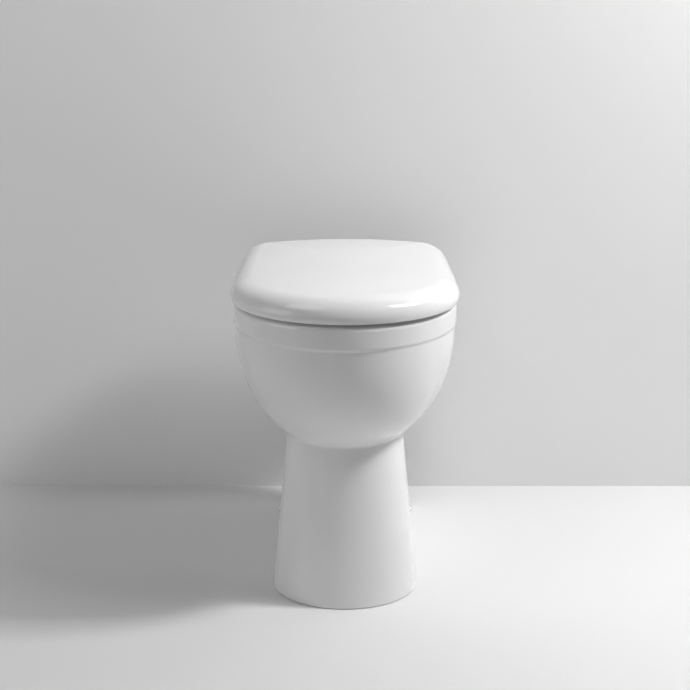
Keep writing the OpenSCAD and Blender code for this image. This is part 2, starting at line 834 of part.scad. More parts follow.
// The rubber cone that centres the stud in the deck's hole from below
module fixing_cone(side) {
    reach = deck_thick / 2;
    color(rubber_grey) at_fixing(side, deck_under) rotate_extrude($fn = 48)
        polygon([
            [stud_radius + 0.2, -cone_flange], [deck_hole + 4, -cone_flange], [deck_hole + 4, -0.3],
            [deck_hole - 0.2, -0.1], [deck_hole - 0.8, reach], [stud_radius + 0.2, reach]
        ]);
}

module fixing_washer(side) {
    color(chrome_grey) at_fixing(side, deck_under - cone_flange - washer_thick) difference() {
        cylinder(r = deck_hole + 4, h = washer_thick, $fn = 48);
        translate([0, 0, -past]) cylinder(r = stud_radius + 0.3, h = washer_thick + 2 * past, $fn = 36);
    }
}

module wing_nut(side) {
    hub = stud_radius + 4;
    span = 20;
    color(nylon_white) at_fixing(side, deck_under - cone_flange - washer_thick - nut_height) difference() {
        union() {
            cylinder(r = hub, h = nut_height, $fn = 48);
            for (turn = [0, 180])
                rotate([90, 0, turn]) linear_extrude(height = 3, center = true)
                    polygon([[hub - 3, 0], [span - 5, -4], [span, -2], [span, 1], [hub - 3, nut_height - 1]]);
        }
        translate([0, 0, -6]) cylinder(r = stud_radius + hole_fit, h = nut_height + 12, $fn = 36);
    }
}

// ---- floor fixings ------------------------------------------------------

inner_half = skirt_half - wall;
bracket_thick = 6;
bracket_rib = 4;        // the upright leg is this much thicker
bracket_gap = 1.4;      // between the bracket and the skirt

// An angle bracket on the floor inside the skirt, with a hole for a floor screw
module floor_bracket(side) {
    width = 36;
    tall = screw_height + 14;
    leg_face = inner_half - bracket_gap;
    leg_back = leg_face - bracket_thick - bracket_rib;
    inner_end = floor_hole_spacing / 2 - 12;
    color(nylon_white) at_wall() translate([0, -fixing_setback, 0]) difference() {
        rotate([90, 0, 0]) linear_extrude(height = width, center = true)
            polygon([for (p = [
                [inner_end, 0], [leg_face, 0], [leg_face, tall], [leg_back, tall],
                [leg_back, bracket_thick], [inner_end, bracket_thick]
            ]) [side * p[0], p[1]]]);
        translate([side * floor_hole_spacing / 2, 0, -past])
            cylinder(r = floor_hole, h = bracket_thick + 2 * past, $fn = 40);
        translate([side * (leg_face + past), 0, screw_height])
            rotate([0, -side * 90, 0])
                cylinder(r = screw_radius + hole_fit, h = leg_face - leg_back + 2 * past, $fn = 36);
    }
}

cup_proud = 2.2;
cup_flange = 0.9;       // the flange's thickness under its edge is cup_proud less this

// Puts a piece in the skirt's side, with its z towards the middle
module at_side(side, proud) {
    at_wall() translate([side * (skirt_half + proud), -fixing_setback, screw_height])
        rotate([0, -side * 90, 0]) children();
}

// A side screw through the skirt into the bracket
module side_screw(side) {
    head = screw_radius + 2;
    head_high = 2.4;
    reach = cup_proud + wall + bracket_gap + bracket_thick + bracket_rib;
    color(chrome_grey) at_side(side, cup_proud + seat_fit) union() {
        cylinder(r = screw_radius, h = reach, $fn = 36);
        rotate_extrude($fn = 48)
            polygon([[0, 0], [head, 0], [head * 0.94, -0.4 * head_high], [head * 0.72, -0.8 * head_high],
                [head * 0.35, -head_high], [0, -head_high]]);
    }
}

// The chromed plastic cup that lines the skirt's hole under the screw's head
module screw_cup(side) {
    flange = cup_radius + 4;
    edge = 0.8;
    bore = screw_radius + seat_fit;
    deep = cup_proud + wall - 2;
    under = cup_proud - cup_flange;
    color(chrome_grey) at_side(side, cup_proud) rotate_extrude($fn = 48)
        polygon([
            [bore, 0], [flange - edge, 0], [flange, edge], [flange, under],
            [cup_radius, under], [cup_radius, deep], [bore, deep]
        ]);
}

// ---- the assembly -------------------------------------------------------

pan();
lid();
seat_ring();
lid_buffers();
ring_buffers();
hinge_barrel(left);  // hinge_barrel_left
hinge_barrel(right);  // hinge_barrel_right
damper(left);  // ring_damper
damper(right);  // lid_damper
damper_shaft(left);  // ring_damper_shaft
damper_shaft(right);  // lid_damper_shaft
hinge_pin(left);  // hinge_pin_left
hinge_pin(right);  // hinge_pin_right
hinge_post(left);  // hinge_post_left
hinge_post(right);  // hinge_post_right
base_plate(left);  // base_plate_left
base_plate(right);  // base_plate_right
base_gasket(left);  // base_gasket_left
base_gasket(right);  // base_gasket_right
hinge_cover(left);  // hinge_cover_left
hinge_cover(right);  // hinge_cover_right
fixing_stud(left);  // fixing_stud_left
fixing_stud(right);  // fixing_stud_right
fixing_cone(left);  // fixing_cone_left
fixing_cone(right);  // fixing_cone_right
fixing_washer(left);  // fixing_washer_left
fixing_washer(right);  // fixing_washer_right
wing_nut(left);  // wing_nut_left
wing_nut(right);  // wing_nut_right
floor_bracket(left);  // floor_bracket_left
floor_bracket(right);  // floor_bracket_right
side_screw(left);  // side_screw_left
side_screw(right);  // side_screw_right
screw_cup(left);  // screw_cup_left
screw_cup(right);  // screw_cup_right
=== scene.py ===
"""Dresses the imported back-to-wall toilet: smooth china, a moulded seat, real finishes and a plain studio.

Lengths in the classes are millimetres from the wall plane, as in the part's source; `Space.metres` turns
them into the frame, whose origin lies half way between the wall plane and the front of the lid.
"""

import json
import logging
import math
from collections.abc import Iterable, Sequence
from dataclasses import dataclass, field
from enum import Enum

import bpy
import numpy as np
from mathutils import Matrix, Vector

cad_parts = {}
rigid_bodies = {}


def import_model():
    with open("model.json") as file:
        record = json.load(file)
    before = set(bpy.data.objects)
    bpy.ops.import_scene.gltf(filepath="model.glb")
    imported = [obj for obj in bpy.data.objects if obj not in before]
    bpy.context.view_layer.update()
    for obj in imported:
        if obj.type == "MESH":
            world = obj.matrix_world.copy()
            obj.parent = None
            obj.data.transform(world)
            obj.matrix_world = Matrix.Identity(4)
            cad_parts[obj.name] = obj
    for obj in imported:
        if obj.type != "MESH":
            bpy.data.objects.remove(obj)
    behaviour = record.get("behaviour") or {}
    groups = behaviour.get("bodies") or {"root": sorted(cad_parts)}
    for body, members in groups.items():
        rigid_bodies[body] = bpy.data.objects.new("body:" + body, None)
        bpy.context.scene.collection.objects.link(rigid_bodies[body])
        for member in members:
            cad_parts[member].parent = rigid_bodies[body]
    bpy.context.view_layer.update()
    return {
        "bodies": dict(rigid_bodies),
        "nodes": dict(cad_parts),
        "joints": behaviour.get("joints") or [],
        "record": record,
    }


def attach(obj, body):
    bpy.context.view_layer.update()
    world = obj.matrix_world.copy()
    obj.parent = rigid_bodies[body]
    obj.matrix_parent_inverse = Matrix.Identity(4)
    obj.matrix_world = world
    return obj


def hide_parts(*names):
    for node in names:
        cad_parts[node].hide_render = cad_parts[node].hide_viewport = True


log = logging.getLogger("toilet")

SIDE_TAPER = 1.5  # the power by which a plan's sides narrow towards the back


class Space:
    """Turns the source's millimetres into the frame's metres."""

    DEPTH = 507.0  # wall plane to the front of the lid

    @classmethod
    def metres(cls, points: np.ndarray) -> np.ndarray:
        """Moves points from millimetres off the wall plane into the frame's metres."""
        return (points + np.array([0.0, cls.DEPTH / 2, 0.0])) / 1000.0


class Join(Enum):
    """How one closed mesh is joined to another."""

    ADD = "UNION"
    CUT = "DIFFERENCE"
    KEEP = "INTERSECT"


# ---- mesh tools ---------------------------------------------------------


def new_mesh_object(name: str, points: np.ndarray, faces: Sequence[Sequence[int]]) -> bpy.types.Object:
    """Makes a mesh object from points in millimetres.

    Args:
        name: The object's name.
        points: An array of shape (n, 3), in millimetres from the wall plane.
        faces: Rows of point numbers, each turning anticlockwise seen from outside.

    Returns:
        The new object, linked to the scene.
    """
    mesh = bpy.data.meshes.new(name)
    mesh.from_pydata(Space.metres(np.asarray(points, float)).tolist(), [], [list(f) for f in faces])
    mesh.update()
    obj = bpy.data.objects.new(name, mesh)
    bpy.context.scene.collection.objects.link(obj)
    return obj


def loft(name: str, rings: Sequence[np.ndarray], closed: bool = False) -> bpy.types.Object:
    """Skins rings of equal length into a closed solid, with a cap at each end unless it closes on itself.

    Args:
        name: The object's name.
        rings: Arrays of shape (n, 3); each ring turns anticlockwise about the direction of travel.
        closed: True joins the last ring to the first instead of capping both.

    Returns:
        The new object.
    """
    count, across = len(rings), len(rings[0])
    points = np.vstack(rings)
    faces: list[list[int]] = []
    for k in range(count if closed else count - 1):
        low, high = k * across, (k + 1) % count * across
        for i in range(across):
            j = (i + 1) % across
            faces.append([low + i, low + j, high + j, high + i])
    if not closed:
        faces.append(list(range(across - 1, -1, -1)))
        faces.append(list(range((count - 1) * across, count * across)))
    return new_mesh_object(name, points, faces)


def join(base: bpy.types.Object, tool: bpy.types.Object, how: Join) -> None:
    """Joins a closed tool to a closed base and takes the tool away.

    Args:
        base: The object whose mesh is replaced by the result.
        tool: The object that is added, cut away or kept in common.
        how: The kind of join.
    """
    step = base.modifiers.new("join", "BOOLEAN")
    step.operation = how.value
    step.solver = "MANIFOLD"
    step.object = tool
    bake(base)
    bpy.data.meshes.remove(tool.data)


def bake(obj: bpy.types.Object) -> None:
    """Puts the result of an object's modifiers into its mesh.

    Args:
        obj: The object.
    """
    bpy.context.view_layer.update()
    shown = obj.evaluated_get(bpy.context.evaluated_depsgraph_get())
    mesh = bpy.data.meshes.new_from_object(shown)
    old = obj.data
    obj.modifiers.clear()
    obj.data = mesh
    mesh.name = obj.name
    bpy.data.meshes.remove(old)


def smooth(obj: bpy.types.Object, crease_deg: float) -> None:
    """Shades an object smooth, with sharp edges where its faces turn by more than an angle.

    Args:
        obj: The object.
        crease_deg: The angle in degrees.
    """
    obj.data.shade_smooth()
    obj.data.set_sharp_from_angle(angle=math.radians(crease_deg))
    even = obj.modifiers.new("even", "WEIGHTED_NORMAL")
    even.keep_sharp = True
    even.weight = 80
    bake(obj)


def cylinder(name: str, start: Sequence[float], axis: Sequence[float], radius: float, length: float,
             steps: int = 64) -> bpy.types.Object:
    """Makes a closed round bar from a start point along an axis.

    Args:
        name: The object's name.
        start: The middle of its first end, in millimetres from the wall plane.
        axis: Its direction.
        radius: Its radius.
        length: Its length.
        steps: How many sides it has.

    Returns:
        The new object.
    """
    along = Vector(axis).normalized()
    side = along.orthogonal().normalized()
    other = along.cross(side)
    turn = np.linspace(0, 2 * math.pi, steps, endpoint=False)
    circle = radius * (np.cos(turn)[:, None] * np.array(side) + np.sin(turn)[:, None] * np.array(other))
    middles = [np.array(start, float) + reach * np.array(along) for reach in (0.0, length)]
    return loft(name, [middle + circle for middle in middles])


def block(name: str, low: Sequence[float], high: Sequence[float]) -> bpy.types.Object:
    """Makes a closed box.

    Args:
        name: The object's name.
        low: Its lowest corner, in millimetres from the wall plane.
        high: Its highest corner.

    Returns:
        The new object.
    """
    (x0, y0, z0), (x1, y1, z1) = low, high
    plan = np.array([[x0, y0], [x1, y0], [x1, y1], [x0, y1]], float)
    return loft(name, [np.column_stack([plan, np.full(4, z)]) for z in (z0, z1)])


def prism_across(name: str, outline: Sequence[Sequence[float]], half_width: float) -> bpy.types.Object:
    """Makes a closed prism that runs across the object from anticlockwise (y, z) points in millimetres."""
    yz = np.array(outline, float)
    return loft(name, [np.column_stack([np.full(len(yz), x), yz]) for x in (-half_width, half_width)])


def ease(t: np.ndarray | float) -> np.ndarray | float:
    """A soft step from 0 to 1 as t goes from 0 to 1."""
    u = np.clip(t, 0.0, 1.0)
    return u * u * (3 - 2 * u)


def soft_max(a: np.ndarray, b: np.ndarray, blend: float) -> np.ndarray:
    """The larger of two lengths, with the change rounded where they are nearer than the blend."""
    near = np.maximum(blend - np.abs(a - b), 0.0) / blend
    return np.maximum(a, b) + near * near * blend / 4


def spline(rows: Sequence[Sequence[float]], steps: int) -> np.ndarray:
    """Runs a smooth curve through rows of numbers.

    Args:
        rows: The rows to pass through.
        steps: How many steps to take from each row to the next.

    Returns:
        The rows with smooth rows between them.
    """
    p = np.array(rows, float)
    ends = np.vstack([2 * p[0] - p[1], p, 2 * p[-1] - p[-2]])
    out = []
    for i in range(1, len(ends) - 2):
        a, b, c, d = ends[i - 1:i + 3]
        for t in np.linspace(0, 1, steps, endpoint=False):
            out.append(0.5 * (2 * b + (c - a) * t + (2 * a - 5 * b + 4 * c - d) * t**2
                              + (3 * b - a - 3 * c + d) * t**3))
    out.append(p[-1])
    return np.array(out)


# ---- plans --------------------------------------------------------------


@dataclass(frozen=True)
class DPlan:
    """A D-shaped plan: an elliptic nose, sides that taper a little, and a back that may bow."""

    half: float  # half width at the nose ellipse's centre
    nose: float  # depth of the nose ellipse
    centre_y: float
    back_half: float
    back_y: float
    corner: float
    bow: float = 0.0
    nose_steps: int = 120
    side_steps: int = 36
    corner_steps: int = 14
    back_steps: int = 24

    def outline(self, z: float) -> np.ndarray:
        """Draws the closed outline, anticlockwise from above, from the left of the nose.

        Args:
            z: The height that it lies at.

        Returns:
            An array of shape (n, 3), in millimetres from the wall plane.
        """
        inner = self.back_half - self.corner
        corner_y = self.back_y - self.bow - self.corner
        turn = np.linspace(math.pi, 2 * math.pi, self.nose_steps + 1)
        nose = np.column_stack([self.half * np.cos(turn), self.centre_y + self.nose * np.sin(turn)])
        u = np.linspace(0, 1, self.side_steps + 1)[1:]
        side_x = self.half - (self.half - self.back_half) * u**SIDE_TAPER
        side_y = self.centre_y + (corner_y - self.centre_y) * u
        quarter = np.linspace(0, math.pi / 2, self.corner_steps + 1)[1:]
        round_x = inner + self.corner * np.cos(quarter)
        round_y = corner_y + self.corner * np.sin(quarter)
        back_x = np.linspace(inner, -inner, self.back_steps + 1)[1:-1]
        back_y = self.back_y - self.bow * (back_x / max(inner, 1e-6)) ** 2
        x = np.concatenate([nose[:, 0], side_x, round_x, back_x, -round_x[::-1], -side_x[::-1]])
        y = np.concatenate([nose[:, 1], side_y, round_y, back_y, round_y[::-1], side_y[::-1]])
        return np.column_stack([x, y, np.full(len(x), z)])


def oval(half: float, front: float, back: float, centre_y: float, z: float, steps: int = 144) -> np.ndarray:
    """Draws an oval ring with its own reach to the front and to the back of its widest place.

    Args:
        half: Its half width.
        front: How far it reaches to the front.
        back: How far it reaches to the back.
        centre_y: The y of its widest place.
        z: The height that it lies at.
        steps: How many points it has.

    Returns:
        An array of shape (steps, 3), in millimetres from the wall plane.
    """
    turn = math.pi + np.linspace(0, 2 * math.pi, steps, endpoint=False)
    reach = np.where(np.sin(turn) < 0, front, back)
    return np.column_stack([half * np.cos(turn), centre_y + reach * np.sin(turn), np.full(steps, z)])


# ---- node trees ---------------------------------------------------------


def linear(code: str) -> tuple[float, float, float, float]:
    """Turns a colour into Blender's linear values.

    Args:
        code: An sRGB hex colour such as '#f2f2f0'.

    Returns:
        Linear red, green and blue, and an alpha of 1.
    """
    parts = [int(code.lstrip("#")[i:i + 2], 16) / 255 for i in (0, 2, 4)]
    rgb = [c / 12.92 if c <= 0.04045 else ((c + 0.055) / 1.055) ** 2.4 for c in parts]
    return (rgb[0], rgb[1], rgb[2], 1.0)


def add(tree: bpy.types.NodeTree, kind: str, settings: dict | None = None,
        links: dict | None = None) -> bpy.types.Node:
    """Adds a node to a tree.

    Args:
        tree: The node tree.
        kind: The node's type name.
        settings: Values by name: an input socket's name or number, a property of the node, or "stops" for
            a colour ramp's pairs of place and hex colour.
        links: Output sockets by the name or number of the input that each goes into.

    Returns:
        The new node.
    """
    node = tree.nodes.new(kind)
    for key, value in (settings or {}).items():
        if key == "stops":
            for element, (place, code) in zip(node.color_ramp.elements, value):
                element.position = place
                element.color = linear(code)
        elif isinstance(key, int) or key in node.inputs:
            node.inputs[key].default_value = value
        else:
            setattr(node, key, value)
    for key, output in (links or {}).items():
        tree.links.new(output, node.inputs[key])
    return node


def start_material(
        name: str) -> tuple[bpy.types.Material, bpy.types.NodeTree, bpy.types.Node, bpy.types.Node]:
    """Makes an empty material.

    Args:
        name: Its name.

    Returns:
        The material, its tree, its shader and the texture coordinates.
    """
    material = bpy.data.materials.new(name)
    material.use_nodes = True
    tree = material.node_tree
    tree.nodes.clear()
    shader = add(tree, "ShaderNodeBsdfPrincipled")
    add(tree, "ShaderNodeOutputMaterial", links={"Surface": shader.outputs[0]})
    place = add(tree, "ShaderNodeTexCoord")
    return material, tree, shader, place


def per_mm(size_mm: float) -> float:
    """The scale of a texture in metres whose grain has a size in millimetres."""
    return 1000.0 / size_mm


@dataclass(frozen=True)
class GlazedChina:
    """Vitreous china under a white fired glaze.

    The glaze is a thin glassy coat: near-white, sharply glossy, with the faint slow waves that it sets in
    when it runs in the kiln. The foot is left bare, so its last millimetre is dull biscuit.
    """

    white: str = "#efefef"
    thick_glaze: str = "#ededed"
    biscuit: str = "#d9d5cc"
    ior: float = 1.52
    roughness: float = 0.07
    haze: float = 0.05  # how much duller the glaze's haze is
    bare_roughness: float = 0.7
    cloud_mm: float = 180.0
    haze_mm: float = 60.0
    wave_mm: float = 45.0
    wave_depth_mm: float = 0.6
    wave_strength: float = 0.25
    bare_height_mm: float = 1.0

    def make(self) -> bpy.types.Material:
        """Makes the material.

        Returns:
            The new material.
        """
        material, tree, shader, place = start_material("glazed_vitreous_china")
        where = place.outputs["Object"]
        shader.inputs["IOR"].default_value = self.ior
        cloud = add(tree, "ShaderNodeTexNoise", {"Scale": per_mm(self.cloud_mm), "Detail": 2.0},
                    {"Vector": where})
        tint = add(tree, "ShaderNodeValToRGB", {"stops": [(0.35, self.white), (0.7, self.thick_glaze)]},
                   {"Fac": cloud.outputs["Fac"]})
        split = add(tree, "ShaderNodeSeparateXYZ", links={"Vector": where})
        bare = add(tree, "ShaderNodeMapRange",
                   {"From Min": self.bare_height_mm / 1000, "From Max": self.bare_height_mm / 2000},
                   {"Value": split.outputs["Z"]})
        # inputs 6 and 7 are the mix's two colours
        colour = add(tree, "ShaderNodeMix", {"data_type": "RGBA", 7: linear(self.biscuit)},
                     {0: bare.outputs[0], 6: tint.outputs[0]})
        tree.links.new(colour.outputs[2], shader.inputs["Base Color"])
        haze = add(tree, "ShaderNodeTexNoise", {"Scale": per_mm(self.haze_mm), "Detail": 3.0},
                   {"Vector": where})
        gloss = add(tree, "ShaderNodeMapRange",
                    {"To Min": self.roughness, "To Max": self.roughness + self.haze},
                    {"Value": haze.outputs["Fac"]})
        dull = add(tree, "ShaderNodeMath", {"operation": "MULTIPLY_ADD", 1: self.bare_roughness},
                   {0: bare.outputs[0], 2: gloss.outputs[0]})
        tree.links.new(dull.outputs[0], shader.inputs["Roughness"])
        wave = add(tree, "ShaderNodeTexNoise", {"Scale": per_mm(self.wave_mm), "Detail": 1.0},
                   {"Vector": where})
        bump = add(tree, "ShaderNodeBump",
                   {"Strength": self.wave_strength, "Distance": self.wave_depth_mm / 1000},
                   {"Height": wave.outputs["Fac"]})
        tree.links.new(bump.outputs[0], shader.inputs["Normal"])
        return material


@dataclass(frozen=True)
class MouldedDuroplast:
    """Duroplast, a urea thermoset pressed in a polished steel mould.

    It is a bright neutral white with a hard polished gloss, and its skin is flatter than the glaze.
    """

    white: str = "#eeeeee"
    shade: str = "#ececed"
    ior: float = 1.55
    roughness: float = 0.06
    haze: float = 0.04
    flow_mm: float = 90.0
    flow_depth_mm: float = 0.3
    flow_strength: float = 0.08
    fine_mm: float = 12.0

    def make(self) -> bpy.types.Material:
        """Makes the material.

        Returns:
            The new material.
        """
        material, tree, shader, place = start_material("pressed_duroplast")
        where = place.outputs["Object"]
        shader.inputs["IOR"].default_value = self.ior
        flow = add(tree, "ShaderNodeTexNoise", {"Scale": per_mm(self.flow_mm), "Detail": 2.0},
                   {"Vector": where})
        tint = add(tree, "ShaderNodeValToRGB", {"stops": [(0.35, self.white), (0.7, self.shade)]},
                   {"Fac": flow.outputs["Fac"]})
        tree.links.new(tint.outputs[0], shader.inputs["Base Color"])
        fine = add(tree, "ShaderNodeTexNoise", {"Scale": per_mm(self.fine_mm), "Detail": 4.0},
                   {"Vector": where})
        gloss = add(tree, "ShaderNodeMapRange",
                    {"To Min": self.roughness, "To Max": self.roughness + self.haze},
                    {"Value": fine.outputs["Fac"]})
        tree.links.new(gloss.outputs[0], shader.inputs["Roughness"])
        bump = add(tree, "ShaderNodeBump",
                   {"Strength": self.flow_strength, "Distance": self.flow_depth_mm / 1000},
                   {"Height": flow.outputs["Fac"]})
        tree.links.new(bump.outputs[0], shader.inputs["Normal"])
        return material


@dataclass(frozen=True)
class Moulding:
    """A moulded plastic or rubber with a fine even texture from its mould.

    The grain is drawn at the size given, coarse enough to show, and it breaks up the sheen.
    """

    name: str
    colour: str
    worn: str
    roughness: float
    grain_mm: float
    depth_mm: float
    ior: float = 1.5
    cloud_mm: float = 14.0
    grain_strength: float = 0.5

    def make(self) -> bpy.types.Material:
        """Makes the material.

        Returns:
            The new material.
        """
        material, tree, shader, place = start_material(self.name)
        where = place.outputs["Object"]
        shader.inputs["IOR"].default_value = self.ior
        cloud = add(tree, "ShaderNodeTexNoise", {"Scale": per_mm(self.cloud_mm), "Detail": 3.0},
                    {"Vector": where})
        tint = add(tree, "ShaderNodeValToRGB", {"stops": [(0.35, self.colour), (0.75, self.worn)]},
                   {"Fac": cloud.outputs["Fac"]})
        tree.links.new(tint.outputs[0], shader.inputs["Base Color"])
        grain = add(tree, "ShaderNodeTexNoise", {"Scale": per_mm(self.grain_mm), "Detail": 2.0},
                    {"Vector": where})
        sheen = add(tree, "ShaderNodeMapRange",
                    {"To Min": self.roughness - 0.05, "To Max": self.roughness + 0.08},
                    {"Value": grain.outputs["Fac"]})
        tree.links.new(sheen.outputs[0], shader.inputs["Roughness"])
        bump = add(tree, "ShaderNodeBump",
                   {"Strength": self.grain_strength, "Distance": self.depth_mm / 1000},
                   {"Height": grain.outputs["Fac"]})
        tree.links.new(bump.outputs[0], shader.inputs["Normal"])
        return material


@dataclass(frozen=True)
class MetalFinish:
    """A metal with the marks of how it was finished.

    Turned and brushed steel shows fine lines round or along it; plated chrome is a clear mirror with a
    faint haze. Lines are drawn at line_mm, coarser than the real scratches so that they show.
    """

    name: str
    colour: str
    tarnish: str
    roughness: float
    line_mm: float
    stretch: tuple[float, float, float]
    depth_mm: float
    line_strength: float = 0.3

    def make(self) -> bpy.types.Material:
        """Makes the material.

        Returns:
            The new material.
        """
        material, tree, shader, place = start_material(self.name)
        shader.inputs["Metallic"].default_value = 1.0
        drawn = add(tree, "ShaderNodeMapping", {"Scale": self.stretch}, {"Vector": place.outputs["Object"]})
        lines = add(tree, "ShaderNodeTexNoise", {"Scale": per_mm(self.line_mm), "Detail": 3.0},
                    {"Vector": drawn.outputs[0]})
        tint = add(tree, "ShaderNodeValToRGB", {"stops": [(0.3, self.tarnish), (0.6, self.colour)]},
                   {"Fac": lines.outputs["Fac"]})
        tree.links.new(tint.outputs[0], shader.inputs["Base Color"])
        sheen = add(tree, "ShaderNodeMapRange",
                    {"To Min": self.roughness * 0.8, "To Max": self.roughness * 1.4},
                    {"Value": lines.outputs["Fac"]})
        tree.links.new(sheen.outputs[0], shader.inputs["Roughness"])
        bump = add(tree, "ShaderNodeBump", {"Strength": self.line_strength, "Distance": self.depth_mm / 1000},
                   {"Height": lines.outputs["Fac"]})
        tree.links.new(bump.outputs[0], shader.inputs["Normal"])
        return material


class Finish(Enum):
    """The finishes, by the record's material slot."""

    CHINA = "vitreous_china"
    DUROPLAST = "moulded_duroplast"
    NYLON = "moulded_nylon"
    BUFFER = "soft_buffer"
    DAMPER = "damper_case"
    STEEL = "stainless_steel"
    CHROME = "bright_chrome"
    RUBBER = "fixing_rubber"


class Palette:
    """Makes each finish once and hands it out."""

    def __init__(self) -> None:
        """Makes the materials."""
        recipes = {
            Finish.CHINA: GlazedChina(),
            Finish.DUROPLAST: MouldedDuroplast(),
            # PA66 nylon from a spark-eroded mould: satin, with a fine pebbled skin
            Finish.NYLON: Moulding("moulded_nylon", "#e6e6e2", "#dcdcd8", 0.38, 0.8, 0.03, 1.53),
            # soft PVC: milky and rubbery, with a dull sheen
            Finish.BUFFER: Moulding("soft_pvc_buffer", "#d9dbdb", "#cdd0d1", 0.45, 1.0, 0.03),
            # glass-filled nylon: dark grey, with flecks of glass at the skin
            Finish.DAMPER: Moulding("glass_filled_nylon", "#4a4c50", "#5a5c60", 0.42, 0.6, 0.05, 1.53),
            # 304 stainless, turned: fine lines that broaden the highlight
            Finish.STEEL: MetalFinish("turned_stainless_steel", "#c9c9c8", "#b4b4b2", 0.26, 1.2, (1, 1, 8),
                                      0.02),
            # chromium plated over nickel on brass: a clear mirror with a faint blue cast
            Finish.CHROME: MetalFinish("plated_chrome", "#d8dadd", "#c8cacd", 0.07, 4.0, (1, 1, 1), 0.005),
            # EPDM rubber: dark grey, matt, slightly bloomed
            Finish.RUBBER: Moulding("moulded_epdm_rubber", "#5b5c5e", "#6a6b6d", 0.62, 0.9, 0.06),
        }
        self.materials = {finish: recipe.make() for finish, recipe in recipes.items()}

    def dress(self, obj: bpy.types.Object, finish: Finish) -> None:
        """Gives an object one finish all over.

        Args:
            obj: The object.
            finish: Its finish.
        """
        obj.data.materials.clear()
        obj.data.materials.append(self.materials[finish])


# ---- pan ----------------------------------------------------------------


